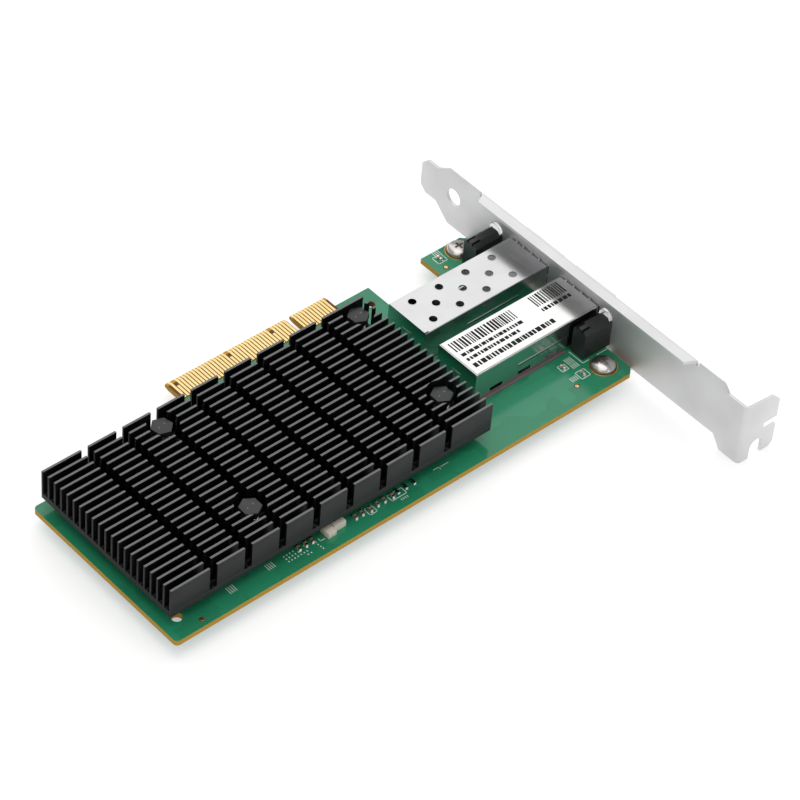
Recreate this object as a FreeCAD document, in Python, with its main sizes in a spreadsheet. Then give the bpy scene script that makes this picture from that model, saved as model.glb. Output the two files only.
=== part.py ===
"""Low-profile two-port network interface card with a heat sink and a full-height bracket.

Frame, in millimetres: +X runs along the card towards the bracket, +Y towards the edge connector and
+Z out of the component side. The origin is the middle of the connector's key notch, on the outer
edge of the contact tab, at the face of the board that carries the components.
"""
import FreeCAD, Part
import math
import os

import Sketcher
from FreeCAD import Rotation, Vector

SIZES = {
    # Circuit board
    "board_thickness": 1.57,
    "board_free_end": -91.2,
    "board_bracket_end": 57.4,
    "board_near_edge": -68.9,
    "board_far_edge": -14.1,
    "board_side_edge": -4.3,
    "board_corner_radius": 1.2,
    "board_corner_cut": 1.7,
    "relief_start": 23.9,
    "relief_end": 42.1,
    "relief_depth": 16.4,
    "tool_hole_radius": 1.4,
    "tool_hole_along": -86.2,
    "tool_hole_across": -62.8,
    "mount_hole_radius": 1.1,
    "mount_hole_along": 20.1,
    "mount_hole_across": -9.5,
    # Edge connector
    "key_width": 1.90,
    "key_depth": 8.25,
    "long_section": 38.65,
    "short_section": 11.65,
    "bevel_length": 1.3,
    "bevel_depth": 0.35,
    "contact_pitch": 1.0,
    "contact_width": 0.70,
    "contact_plating": 0.05,
    "contact_first": 1.5,
    "contact_rear": 6.9,
    "contact_front_gap": 0.1,
    "short_contact_setback": 1.2,
    "contacts_long_row": 38,
    "contacts_short_row": 11,
    # Heat sink
    "sink_start": -89.5,
    "sink_length": 100.7,
    "sink_near_edge": -64.5,
    "sink_width": 49.2,
    "sink_lift": 3.5,
    "sink_base": 1.7,
    "fin_height": 7.25,
    "fin_count": 21,
    "fin_thickness": 0.65,
    "slot_count": 8,
    "slot_width": 2.2,
    "slot_pitch": 10.51,
    "slot_first": -76.8,
    "head_pocket_radius": 3.5,
    "pedestal_side": 30.0,
    # Push pins, by the middle of each
    "pin_1_along": -56.7,
    "pin_1_across": -19.9,
    "pin_2_along": -56.9,
    "pin_2_across": -53.7,
    "pin_3_along": 4.5,
    "pin_3_across": -53.2,
    "pin_4_along": 6.8,
    "pin_4_across": -19.15,
    "pin_head_flats": 5.0,
    "pin_head_height": 1.7,
    "pin_head_set_back": 1.2,
    "pin_stem_radius": 1.25,
    "pin_clearance": 0.25,
    "pin_barb_reach": 1.75,
    "pin_barb_height": 2.6,
    "pin_barb_width": 1.8,
    "pin_prong_gap": 0.5,
    "spring_coil_radius": 1.95,
    "spring_wire_side": 0.42,
    "spring_rising_turns": 2.0,
    "spring_closed_turns": 1.0,
    "spring_closed_gap": 0.08,
    # Network controller
    "chip_along": -26.0,
    "chip_across": -37.0,
    "chip_side": 25.0,
    "chip_substrate": 1.1,
    "chip_lid_side": 19.0,
    "chip_lid": 1.0,
    "thermal_pad_thickness": 0.4,
    # Port cages
    "cage_rear": 16.7,
    "cage_nose": 64.7,
    "cage_width": 14.1,
    "cage_top": 9.8,
    "cage_sheet": 0.3,
    "cage_lift": 0.1,
    "port_first": -26.75,
    "port_pitch": 18.9,
    "vent_radius": 1.15,
    "vent_count": 4,
    "vent_pitch": 9.1,
    "vent_row_pitch": 4.0,
    "vent_first": 5.15,
    "cage_pin_width": 0.9,
    "cage_pin_pitch": 9.6,
    "cage_pin_first": 4.4,
    "cage_pin_length": 3.0,
    "cage_pin_clearance": 0.15,
    "cage_pin_count": 4,
    "side_window_height": 1.1,
    "side_window_length": 4.2,
    "latch_hole_side": 3.0,
    "floor_start": 17.0,
    # Spring collar on each cage's nose
    "collar_sheet": 0.2,
    "collar_band": 1.3,
    "collar_bulge": 0.4,
    "collar_reach": 5.8,
    "collar_slot": 0.5,
    "collar_fingers": 5,
    "collar_side_fingers": 3,
    # Port connector
    "connector_depth": 13.0,
    "connector_width": 11.6,
    "connector_height": 7.6,
    "connector_mouth_width": 9.6,
    "connector_mouth_height": 2.2,
    "connector_mouth_lift": 3.4,
    "connector_mouth_depth": 8.0,
    "blade_pitch": 0.8,
    "blade_width": 0.4,
    "blade_length": 6.0,
    "blade_thickness": 0.25,
    "blade_count": 10,
    # Bracket
    "bracket_inner": 58.7,
    "bracket_sheet": 0.86,
    "bracket_bottom": -1.95,
    "bracket_width": 18.42,
    "bracket_length": 120.02,
    "bracket_tab_face": -105.1,
    "tab_reach": 11.43,
    "tab_bottom": -5.7,
    "tab_width": 19.2,
    "tab_taper": 1.2,
    "tab_corner": 2.3,
    "step_start": -95.8,
    "step_run": 2.6,
    "tongue_bottom": 2.3,
    "tongue_width": 11.0,
    "tongue_start": 8.8,
    "shoulder_start": 3.9,
    "tongue_corner": 2.0,
    "tongue_hole_radius": 2.6,
    "tongue_hole_along": 2.3,
    "flange_start": -86.9,
    "flange_end": -8.2,
    "flange_reach": 3.1,
    "flange_corner": 1.6,
    "flange_relief": 1.0,
    "bend_radius": 0.45,
    "port_window_gap": 0.45,
    "screw_slot_width": 4.42,
    "screw_slot_depth": 5.4,
    "screw_slot_along": 5.86,
    "guide_notch_width": 2.7,
    "guide_notch_depth": 4.6,
    "guide_notch_height": 3.1,
    "lug_length": 9.0,
    "lug_width": 7.6,
    # Bracket screws
    "screw_along": 52.1,
    "screw_far_across": -7.9,
    "screw_near_across": -62.8,
    "screw_radius": 1.25,
    "screw_clearance": 0.2,
    "screw_head_radius": 2.95,
    "screw_head_height": 1.9,
    "screw_tip": 1.0,
    "recess_width": 0.75,
    "recess_length": 3.1,
    "recess_depth": 1.1,
    "land_radius": 3.75,
    "land_plating": 0.05,
    # Indicator lights
    "light_housing_start": 49.4,
    "light_housing_width": 4.6,
    "light_housing_height": 9.2,
    "light_far_across": -14.5,
    "light_near_across": -55.75,
    "light_chamfer": 1.2,
    "light_slot_width": 0.6,
    "light_slot_length": 2.4,
    "light_slot_depth": 1.0,
    "lens_lift": 8.6,
    "lens_radius": 2.0,
    "lens_clearance": 0.15,
    "lens_stand_out": 0.5,
    "lens_socket": 0.8,
    # Small components, by height and body
    "label_thickness": 0.1,
    "label_length": 41.0,
    "label_width": 13.4,
    "label_start": 0.4,
    "inductor_length": 6.6,
    "inductor_width": 6.6,
    "inductor_height": 3.0,
    "memory_length": 8.0,
    "memory_width": 5.2,
    "memory_height": 1.6,
    "regulator_length": 5.0,
    "regulator_width": 5.0,
    "regulator_height": 0.9,
    "tantalum_length": 3.5,
    "tantalum_width": 2.8,
    "tantalum_height": 1.9,
    "capacitor_length": 1.6,
    "capacitor_width": 0.8,
    "capacitor_height": 0.8,
    "resistor_length": 1.6,
    "resistor_width": 0.8,
    "resistor_height": 0.45,
    "crystal_length": 5.0,
    "crystal_width": 3.2,
    "crystal_height": 1.1,
}

# Where each kind of component is soldered: along, across, and whether it is turned a quarter
CHOKES = [(-80.0, -26.0, False), (-80.0, -35.0, False)]
MEMORIES = [(-64.0, -33.0, False), (-64.0, -42.0, False)]
REGULATORS = [(-80.0, -44.0, False), (-80.0, -52.0, False)]
TANTALUMS = [(-37.6, -63.4, False), (-84.0, -19.5, True), (-76.0, -19.5, True)]
CRYSTALS = [(-49.0, -59.0, False)]
CAPACITORS = [(along, -63.6, True) for along in (-49.9, -47.6, -45.3, -30.0, -27.5, -25.0, -22.5)]
CAPACITORS += [(45.9, -7.0, True), (46.0, -61.2, True)]
RESISTORS = [(along, -63.8, True) for along in (-18.6, -16.0, -13.4)]
UNDER_CAPACITORS = [
    (along, across, across in (-45.0, -37.0, -29.0))
    for along in (-34.0, -30.0, -26.0, -22.0, -18.0)
    for across in (-45.0, -41.0, -37.0, -33.0, -29.0)
]
SOLDERED = [
    ("power_inductors", "inductor", CHOKES),
    ("flash_memory", "memory", MEMORIES),
    ("voltage_regulators", "regulator", REGULATORS),
    ("tantalum_capacitors", "tantalum", TANTALUMS),
    ("crystal", "crystal", CRYSTALS),
    ("chip_capacitors", "capacitor", CAPACITORS),
    ("chip_resistors", "resistor", RESISTORS),
]

# Sides of the small round holes and stems that repeat
ROUND_SIDES = 12
VENT_SIDES = 10
LAND_SIDES = 24
# Straight runs in one turn of a spring's wire
COIL_RUNS = 8

DOC = FreeCAD.newDocument("network_card")
PIECES = []


class Length:
    """A size, or a sum of sizes: its value, and the formula that binds a property to the sheet."""

    def __init__(self, formula, value):
        self.formula = formula
        self.value = float(value)

    def __add__(self, other):
        other = as_length(other)
        return Length(f"({self.formula} + {other.formula})", self.value + other.value)

    def __radd__(self, other):
        return as_length(other) + self

    def __sub__(self, other):
        other = as_length(other)
        return Length(f"({self.formula} - {other.formula})", self.value - other.value)

    def __rsub__(self, other):
        return as_length(other) - self

    def __mul__(self, other):
        other = as_length(other)
        return Length(f"({self.formula} * {other.formula})", self.value * other.value)

    def __rmul__(self, other):
        return as_length(other) * self

    def __truediv__(self, other):
        other = as_length(other)
        return Length(f"({self.formula} / {other.formula})", self.value / other.value)

    def __neg__(self):
        return as_length(0.0) - self


def as_length(value):
    """Give a plain number the same form as a size."""
    if isinstance(value, Length):
        return value
    return Length(f"({value!r})", value)


class Sheet:
    """The driving dimensions: each size of SIZES is an attribute, bound to its spreadsheet cell."""

    def __init__(self, sizes):
        self.cells = DOC.addObject("Spreadsheet::Sheet", "Sizes")
        for row, (alias, value) in enumerate(sizes.items(), start=1):
            self.cells.set(f"A{row}", alias.replace("_", " "))
            self.cells.set(f"B{row}", str(value))
            self.cells.setAlias(f"B{row}", alias)
            setattr(self, alias, Length(f"Sizes.{alias}", value))


def bind(item, name, length):
    """Tie one property of a document object to the sheet."""
    item.setExpression(name, as_length(length).formula)


def place(item, corner):
    """Tie an object's position to the sheet."""
    for axis, length in zip("xyz", corner):
        bind(item, f"Placement.Base.{axis}", length)


def box(name, corner, sides):
    """A block from its lowest corner and its three sides."""
    block = DOC.addObject("Part::Box", name)
    for side, length in zip(("Length", "Width", "Height"), sides):
        bind(block, side, length)
    place(block, corner)
    return block


def rod(name, foot, radius, height, axis=Vector(0, 0, 1)):
    """A cylinder from the middle of its foot, standing along an axis."""
    cylinder = DOC.addObject("Part::Cylinder", name)
    cylinder.Placement.Rotation = Rotation(Vector(0, 0, 1), axis)
    bind(cylinder, "Radius", radius)
    bind(cylinder, "Height", height)
    place(cylinder, foot)
    return cylinder


def cone(name, foot, low_radius, high_radius, height):
    """An upright cone from the middle of its foot."""
    taper = DOC.addObject("Part::Cone", name)
    bind(taper, "Radius1", low_radius)
    bind(taper, "Radius2", high_radius)
    bind(taper, "Height", height)
    place(taper, foot)
    return taper


def prism(name, foot, radius, height, sides):
    """An upright prism from the middle of its foot, by the radius to its corners."""
    block = DOC.addObject("Part::Prism", name)
    block.Polygon = sides
    bind(block, "Circumradius", radius)
    bind(block, "Height", height)
    place(block, foot)
    return block


def fuse(name, parts):
    """Join solids into one."""
    union = DOC.addObject("Part::MultiFuse", name)
    union.Shapes = parts
    return union


def cut(name, base, tool):
    """Take one solid away from another."""
    rest = DOC.addObject("Part::Cut", name)
    rest.Base = base
    rest.Tool = tool
    return rest


def group(name, parts):
    """Keep like solids together as separate solids of one piece."""
    bundle = DOC.addObject("Part::Compound", name)
    bundle.Links = parts
    return bundle


def piece(item, label):
    """Register a finished sub-part under the name of its file."""
    item.Label = label
    PIECES.append(item)
    return item


def outline(sketch, points):
    """Draw a closed outline whose every corner is held by the sheet."""
    first = sketch.GeometryCount
    count = len(points)
    places = [(as_length(along), as_length(up)) for along, up in points]
    for step, (along, up) in enumerate(places):
        next_along, next_up = places[(step + 1) % count]
        start = Vector(along.value, up.value, 0)
        end = Vector(next_along.value, next_up.value, 0)
        sketch.addGeometry(Part.LineSegment(start, end))
    for step in range(count):
        joint = Sketcher.Constraint("Coincident", first + step, 2, first + (step + 1) % count, 1)
        sketch.addConstraint(joint)
    for step, (along, up) in enumerate(places):
        hold_point(sketch, first + step, 1, along, up)


def hold_point(sketch, geometry, point, along, up):
    """Hold one point of a sketch by two sizes measured from the sketch's origin."""
    for kind, length in (("DistanceX", along), ("DistanceY", up)):
        row = sketch.addConstraint(Sketcher.Constraint(kind, -1, 1, geometry, point, length.value))
        sketch.setExpression(f"Constraints[{row}]", length.formula)


def rectangle(sketch, start, end, low, high):
    """Draw a rectangle between two places along and two places up."""
    outline(sketch, [(start, low), (end, low), (end, high), (start, high)])


def circle(sketch, along, up, radius):
    """Draw a circle whose middle and radius are held by the sheet."""
    along, up, radius = as_length(along), as_length(up), as_length(radius)
    middle = Vector(along.value, up.value, 0)
    ring = sketch.addGeometry(Part.Circle(middle, Vector(0, 0, 1), radius.value))
    hold_point(sketch, ring, 3, along, up)
    row = sketch.addConstraint(Sketcher.Constraint("Radius", ring, radius.value))
    sketch.setExpression(f"Constraints[{row}]", radius.formula)


def polygon(sketch, along, up, radius, sides):
    """Draw a regular outline by its middle and the radius to its corners."""
    turns = [math.tau * corner / sides for corner in range(sides)]
    outline(sketch, [(along + radius * math.cos(turn), up + radius * math.sin(turn)) for turn in turns])


class Shaped:
    """A PartDesign body with its sketches and features, named after the piece."""

    def __init__(self, name):
        self.name = name
        self.body = DOC.addObject("PartDesign::Body", name)
        self.steps = 0

    def new(self, kind, word):
        """Add a sketch or feature with a name of its own."""
        self.steps += 1
        return self.body.newObject(kind, f"{self.name}_{word}_{self.steps}")

    def origin(self, role):
        """Find a plane or axis of this body's own origin."""
        for item in self.body.Origin.OriginFeatures:
            if item.Role == role:
                return item
        raise ValueError(role)

    def sketch(self, plane, offset=0.0):
        """Start a sketch on an origin plane, moved along the plane's normal."""
        drawing = self.new("Sketcher::SketchObject", "sketch")
        drawing.AttachmentSupport = [(self.origin(plane), "")]
        drawing.MapMode = "FlatFace"
        bind(drawing, "AttachmentOffset.Base.z", offset)
        return drawing

    def pad(self, drawing, length, backwards=False):
        """Extrude a sketch along its normal, or against it."""
        feature = self.new("PartDesign::Pad", "pad")
        feature.Profile = drawing
        feature.Reversed = backwards
        bind(feature, "Length", length)
        return feature

    def pocket(self, drawing, length, forwards=False):
        """Cut a sketch against its normal, or along it, and prove that it removed something."""
        DOC.recompute()
        before = self.body.Tip.Shape.Volume
        feature = self.new("PartDesign::Pocket", "pocket")
        feature.Profile = drawing
        feature.Reversed = forwards
        bind(feature, "Length", length)
        DOC.recompute()
        if feature.Shape.Volume > before - 1e-6:
            raise ValueError(f"{feature.Name} cuts nothing")
        return feature

    def row(self, feature, axis, reach, copies):
        """Repeat a feature evenly along an axis."""
        pattern = self.new("PartDesign::LinearPattern", "row")
        pattern.Originals = [feature]
        pattern.Direction = (self.origin(axis), [""])
        bind(pattern, "Length", reach)
        bind(pattern, "Occurrences", copies)
        self.body.Tip = pattern
        return pattern

    def soften(self, kind, pick, size_name, length):
        """Fillet or chamfer the edges that a test picks."""
        DOC.recompute()
        base = self.body.Tip
        names = [f"Edge{n}" for n, edge in enumerate(base.Shape.Edges, start=1) if pick(edge)]
        if not names:
            raise ValueError(f"{self.name} has no edge to soften")
        feature = self.new(kind, "edge")
        feature.Base = (base, names)
        bind(feature, size_name, length)
        return feature

    def fillet(self, pick, radius):
        """Round the picked edges."""
        return self.soften("PartDesign::Fillet", pick, "Radius", radius)

    def chamfer(self, pick, length):
        """Bevel the picked edges."""
        return self.soften("PartDesign::Chamfer", pick, "Size", length)


def runs_along(edge, axis):
    """Tell whether an edge is straight and parallel to an axis."""
    if not isinstance(edge.Curve, Part.Line):
        return False
    return abs(abs(edge.tangentAt(edge.FirstParameter).dot(axis)) - 1.0) < 1e-6


def upright_at(places):
    """Pick the upright edges that stand at the given places on the board."""
    spots = [(as_length(along).value, as_length(across).value) for along, across in places]

    def pick(edge):
        if not runs_along(edge, Vector(0, 0, 1)):
            return False
        middle = edge.CenterOfMass
        return any(math.hypot(middle.x - x, middle.y - y) < 0.01 for x, y in spots)

    return pick


s = Sheet(SIZES)

# Places that several pieces share
board_under = -s.board_thickness
contact_places = [s.contact_first + s.contact_pitch * n for n in range(SIZES["contacts_short_row"])]
contact_places += [-s.contact_first - s.contact_pitch * n for n in range(SIZES["contacts_long_row"])]
tab_start = -s.key_width / 2 - s.long_section
tab_end = s.key_width / 2 + s.short_section
sink_end = s.sink_start + s.sink_length
sink_far_edge = s.sink_near_edge + s.sink_width
sink_floor = s.sink_lift + s.sink_base
sink_top = sink_floor + s.fin_height
fin_pitch = (s.sink_width - s.fin_thickness) / (s.fin_count - 1)
pin_places = [
    (s.pin_1_along, s.pin_1_across),
    (s.pin_2_along, s.pin_2_across),
    (s.pin_3_along, s.pin_3_across),
    (s.pin_4_along, s.pin_4_across),
]
port_places = [s.port_first, s.port_first - s.port_pitch]
screw_places = [(s.screw_along, s.screw_far_across), (s.screw_along, s.screw_near_across)]
light_places = [s.light_far_across, s.light_near_across]
bracket_outer = s.bracket_inner + s.bracket_sheet
cage_length = s.cage_nose - s.cage_rear
cage_pin_width_half = s.cage_pin_width / 2
short_contacts = {"component": (16, 30, 47), "solder": (10,)}


def cage_pin_places(middle):
    """Where one cage's press-fit pins go through the board, as the middle of each."""
    sides = (middle - s.cage_width / 2 + s.cage_sheet / 2, middle + s.cage_width / 2 - s.cage_sheet / 2)
    along = [s.cage_rear + s.cage_pin_first + s.cage_pin_pitch * n
             for n in range(SIZES["cage_pin_count"])]
    return [(spot, side) for side in sides for spot in along]


def build_circuit_board():
    """The laminate: notched outline, bevelled contact tab and every hole that a piece goes through."""
    board = Shaped("circuit_board")
    face = board.sketch("XY_Plane")
    half_key = s.key_width / 2
    outline(face, [
        (s.board_free_end, s.board_near_edge),
        (s.board_bracket_end - s.board_corner_cut, s.board_near_edge),
        (s.board_bracket_end, s.board_near_edge + s.board_corner_cut),
        (s.board_bracket_end, s.board_side_edge - s.board_corner_cut),
        (s.board_bracket_end - s.board_corner_cut, s.board_side_edge),
        (s.relief_end, s.board_side_edge),
        (s.relief_end, -s.relief_depth),
        (s.relief_start, -s.relief_depth),
        (s.relief_start, s.board_side_edge),
        (tab_end, s.board_side_edge),
        (tab_end, 0.0),
        (half_key, 0.0),
        (half_key, -s.key_depth),
        (-half_key, -s.key_depth),
        (-half_key, 0.0),
        (tab_start, 0.0),
        (tab_start, s.board_far_edge),
        (s.board_free_end, s.board_far_edge),
    ])
    board.pad(face, s.board_thickness, backwards=True)
    board.fillet(upright_at([
        (s.board_free_end, s.board_near_edge),
        (s.board_free_end, s.board_far_edge),
        (s.relief_start, -s.relief_depth),
        (s.relief_end, -s.relief_depth),
    ]), s.board_corner_radius)

    bevel = board.sketch("YZ_Plane", tab_start)
    shallow = s.bevel_depth
    outline(bevel, [(-s.bevel_length, 0.0), (0.0, -shallow), (shallow, shallow), (-s.bevel_length, shallow)])
    outline(bevel, [
        (-s.bevel_length, board_under),
        (0.0, board_under + shallow),
        (shallow, board_under - shallow),
        (-s.bevel_length, board_under - shallow),
    ])
    board.pocket(bevel, tab_end - tab_start, forwards=True)

    holes = board.sketch("XY_Plane")
    for along, across in screw_places:
        circle(holes, along, across, s.screw_radius + s.screw_clearance)
    circle(holes, s.tool_hole_along, s.tool_hole_across, s.tool_hole_radius)
    circle(holes, s.mount_hole_along, s.mount_hole_across, s.mount_hole_radius)
    for middle in port_places:
        for along, across in cage_pin_places(middle):
            reach = cage_pin_width_half + s.cage_pin_clearance
            thin = s.cage_sheet / 2 + s.cage_pin_clearance
            rectangle(holes, along - reach, along + reach, across - thin, across + thin)
    board.pocket(holes, s.board_thickness)
    for along, across in pin_places:
        hole = board.sketch("XY_Plane")
        polygon(hole, along, across, s.pin_stem_radius + s.pin_clearance, ROUND_SIDES)
        board.pocket(hole, s.board_thickness)
    piece(board.body, "circuit_board")


def build_edge_contacts():
    """The gold fingers on both faces, with the short ones for hot plugging set back."""
    for side, low in (("component", as_length(0.0)), ("solder", board_under - s.contact_plating)):
        fingers = []
        for number, along in enumerate(contact_places):
            end = s.bevel_length + s.contact_front_gap
            if number in short_contacts[side]:
                end = end + s.short_contact_setback
            corner = (along - s.contact_width / 2, -s.contact_rear, low)
            sides = (s.contact_width, s.contact_rear - end, s.contact_plating)
            fingers.append(box(f"{side}_finger_{number}", corner, sides))
        piece(group(f"{side}_fingers", fingers), f"edge_contacts_{side}_side")


def build_heat_sink():
    """The extruded and cross-cut block of fins on its base, with room round each push pin."""
    sink = Shaped("heat_sink")
    block = sink.sketch("XY_Plane", s.sink_lift)
    rectangle(block, s.sink_start, sink_end, s.sink_near_edge, sink_far_edge)
    sink.pad(block, s.sink_base + s.fin_height)

    gap = sink.sketch("YZ_Plane", s.sink_start)
    gap_start = s.sink_near_edge + s.fin_thickness
    rectangle(gap, gap_start, s.sink_near_edge + fin_pitch, sink_floor, sink_top)
    channel = sink.pocket(gap, s.sink_length, forwards=True)
    sink.row(channel, "Y_Axis", fin_pitch * (s.fin_count - 2), s.fin_count - 1)

    notch = sink.sketch("XZ_Plane", -s.sink_near_edge)
    rectangle(notch, s.slot_first - s.slot_width / 2, s.slot_first + s.slot_width / 2, sink_floor, sink_top)
    saw_cut = sink.pocket(notch, s.sink_width)
    sink.row(saw_cut, "X_Axis", s.slot_pitch * (s.slot_count - 1), s.slot_count)

    wells = sink.sketch("XY_Plane", sink_floor)
    for along, across in pin_places:
        circle(wells, along, across, s.head_pocket_radius)
    sink.pocket(wells, s.fin_height, forwards=True)

    for along, across in pin_places:
        hole = sink.sketch("XY_Plane", sink_floor)
        polygon(hole, along, across, s.pin_stem_radius + s.pin_clearance, ROUND_SIDES)
        sink.pocket(hole, s.sink_base)

    pedestal = sink.sketch("XY_Plane", s.sink_lift)
    half = s.pedestal_side / 2
    rectangle(pedestal, s.chip_along - half, s.chip_along + half, s.chip_across - half, s.chip_across + half)
    chip_top = s.chip_substrate + s.chip_lid + s.thermal_pad_thickness
    sink.pad(pedestal, s.sink_lift - chip_top, backwards=True)
    piece(sink.body, "heat_sink")


def build_push_pins():
    """Four hexagon-headed push pins with split barbs, each sprung against the heat sink."""
    pins = []
    springs = []
    head_foot = sink_top - s.pin_head_set_back - s.pin_head_height
    for number, (along, across) in enumerate(pin_places):
        pin = Shaped(f"push_pin_{number}")
        head = pin.sketch("XY_Plane", head_foot)
        polygon(head, along, across, s.pin_head_flats / math.sqrt(3.0), 6)
        pin.pad(head, s.pin_head_height)
        stem = pin.sketch("XY_Plane", board_under)
        polygon(stem, along, across, s.pin_stem_radius, ROUND_SIDES)
        pin.pad(stem, head_foot - board_under)
        barb = pin.sketch("XZ_Plane", -across - s.pin_barb_width / 2)
        barb_outline(barb, along)
        pin.pad(barb, s.pin_barb_width)
        pins.append(pin.body)

        coil = DOC.addObject("Part::Feature", f"pin_spring_{number}")
        coil.Shape = coil_spring(head_foot.value - sink_floor.value)
        place(coil, (along, across, sink_floor))
        springs.append(coil)
    piece(group("push_pins", pins), "heat_sink_pins")
    piece(group("coil_springs", springs), "pin_springs")


def barb_outline(sketch, along):
    """Draw the split arrow tip that catches under the board."""
    shoulder = board_under
    tip = shoulder - s.pin_barb_height
    lip = shoulder - s.pin_barb_height / 5
    gap = s.pin_prong_gap / 2
    nose = s.pin_stem_radius / 2
    outline(sketch, [
        (along - s.pin_barb_reach, shoulder), (along + s.pin_barb_reach, shoulder),
        (along + s.pin_barb_reach, lip), (along + nose, tip), (along + gap, tip),
        (along + gap, lip), (along - gap, lip), (along - gap, tip), (along - nose, tip),
        (along - s.pin_barb_reach, lip),
    ])


def coil_spring(height):
    """A compression spring of straight runs of square wire, with a closed turn at each end."""
    side = s.spring_wire_side.value
    closed = s.spring_closed_turns.value
    rising = s.spring_rising_turns.value
    shut_pitch = side + s.spring_closed_gap.value
    climb = height - side - shut_pitch * closed * 2
    runs = round((closed * 2 + rising) * COIL_RUNS)
    sections = []
    for run in range(runs + 1):
        turn = run / COIL_RUNS
        shut_turns = min(turn, closed) + max(turn - closed - rising, 0.0)
        risen = min(max((turn - closed) / rising, 0.0), 1.0)
        low = shut_turns * shut_pitch + risen * climb
        outwards = Vector(math.cos(math.tau * turn), math.sin(math.tau * turn), 0)
        inner = outwards * (s.spring_coil_radius.value - side / 2)
        outer = outwards * (s.spring_coil_radius.value + side / 2)
        rise = Vector(0, 0, side)
        foot = Vector(0, 0, low)
        sections.append([inner + foot, outer + foot, outer + foot + rise, inner + foot + rise])
    first, last = sections[0], sections[-1]
    corners = [(first[0], first[1], first[2]), (first[0], first[2], first[3])]
    corners += [(last[0], last[2], last[1]), (last[0], last[3], last[2])]
    for here, there in zip(sections, sections[1:]):
        for edge in range(4):
            after = (edge + 1) % 4
            corners.append((here[edge], there[edge], there[after]))
            corners.append((here[edge], there[after], here[after]))
    faces = [Part.Face(Part.makePolygon([a, b, c, a])) for a, b, c in corners]
    sheath = Part.Compound(faces)
    sheath.sewShape()
    solid = Part.Solid(sheath)
    if solid.Volume < 0:
        solid.reverse()
    return solid


def centred_block(name, along, across, low, sides):
    """A block standing on a height, centred on a place of the board."""
    return box(name, (along - sides[0] / 2, across - sides[1] / 2, low), sides)


def build_controller():
    """The controller under the heat sink's pedestal: substrate, lid and thermal pad."""
    side = s.chip_side
    base = centred_block("chip_base", s.chip_along, s.chip_across, 0.0, (side, side, s.chip_substrate))
    lid_sides = (s.chip_lid_side, s.chip_lid_side, s.chip_lid)
    lid = centred_block("chip_cover", s.chip_along, s.chip_across, s.chip_substrate, lid_sides)
    piece(fuse("controller", [base, lid]), "network_controller")
    pad_sides = (s.chip_lid_side, s.chip_lid_side, s.thermal_pad_thickness)
    low = s.chip_substrate + s.chip_lid
    piece(centred_block("soft_pad", s.chip_along, s.chip_across, low, pad_sides), "thermal_pad")


def build_cage(number, middle):
    """One folded port cage: vented top, two sides with windows, rear wall and press-fit pins."""
    cage = Shaped(f"cage_shell_{number}")
    sheet = s.cage_sheet
    near, far = middle - s.cage_width / 2, middle + s.cage_width / 2
    fold = cage.sketch("YZ_Plane", s.cage_rear)
    outline(fold, [
        (near, s.cage_lift), (near + sheet, s.cage_lift),
        (near + sheet, s.cage_top - sheet), (far - sheet, s.cage_top - sheet),
        (far - sheet, s.cage_lift), (far, s.cage_lift),
        (far, s.cage_top), (near, s.cage_top),
    ])
    cage.pad(fold, cage_length)
    wall = cage.sketch("YZ_Plane", s.cage_rear)
    rectangle(wall, near, far, s.cage_lift, s.cage_top)
    cage.pad(wall, sheet)
    cage.fillet(cage_edges(near, far), sheet)

    pins = cage.sketch("XZ_Plane", -near)
    first = s.cage_rear + s.cage_pin_first
    rectangle(pins, first - cage_pin_width_half, first + cage_pin_width_half,
              s.cage_lift - s.cage_pin_length, s.cage_lift + sheet)
    near_pin = cage.pad(pins, sheet, backwards=True)
    cage.row(near_pin, "X_Axis", s.cage_pin_pitch * (s.cage_pin_count - 1), s.cage_pin_count)
    pins = cage.sketch("XZ_Plane", -far)
    rectangle(pins, first - cage_pin_width_half, first + cage_pin_width_half,
              s.cage_lift - s.cage_pin_length, s.cage_lift + sheet)
    far_pin = cage.pad(pins, sheet)
    cage.row(far_pin, "X_Axis", s.cage_pin_pitch * (s.cage_pin_count - 1), s.cage_pin_count)

    for row, shift, count in ((1, 0.0, s.vent_count), (0, 0.5, s.vent_count - 1), (-1, 0.0, s.vent_count)):
        vent = cage.sketch("XY_Plane", s.cage_top)
        along = s.cage_rear + s.vent_first + s.vent_pitch * shift
        polygon(vent, along, middle + s.vent_row_pitch * row, s.vent_radius, VENT_SIDES)
        punched = cage.pocket(vent, sheet * 2)
        cage.row(punched, "X_Axis", s.vent_pitch * (count - 1), count)

    windows = cage.sketch("XZ_Plane", -near)
    for copy in range(3):
        start = first + s.cage_pin_pitch * copy + s.cage_pin_width
        rectangle(windows, start, start + s.side_window_length, s.cage_lift + sheet * 4,
                  s.cage_lift + sheet * 4 + s.side_window_height)
    cage.pocket(windows, s.cage_width)
    piece(cage.body, f"cage_shell_{number}")


def cage_edges(near, far):
    """Pick the two long folds along the top of a cage."""
    def pick(edge):
        middle = edge.CenterOfMass
        on_side = min(abs(middle.y - near.value), abs(middle.y - far.value)) < 0.01
        return runs_along(edge, Vector(1, 0, 0)) and on_side and abs(middle.z - s.cage_top.value) < 0.01
    return pick


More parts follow.
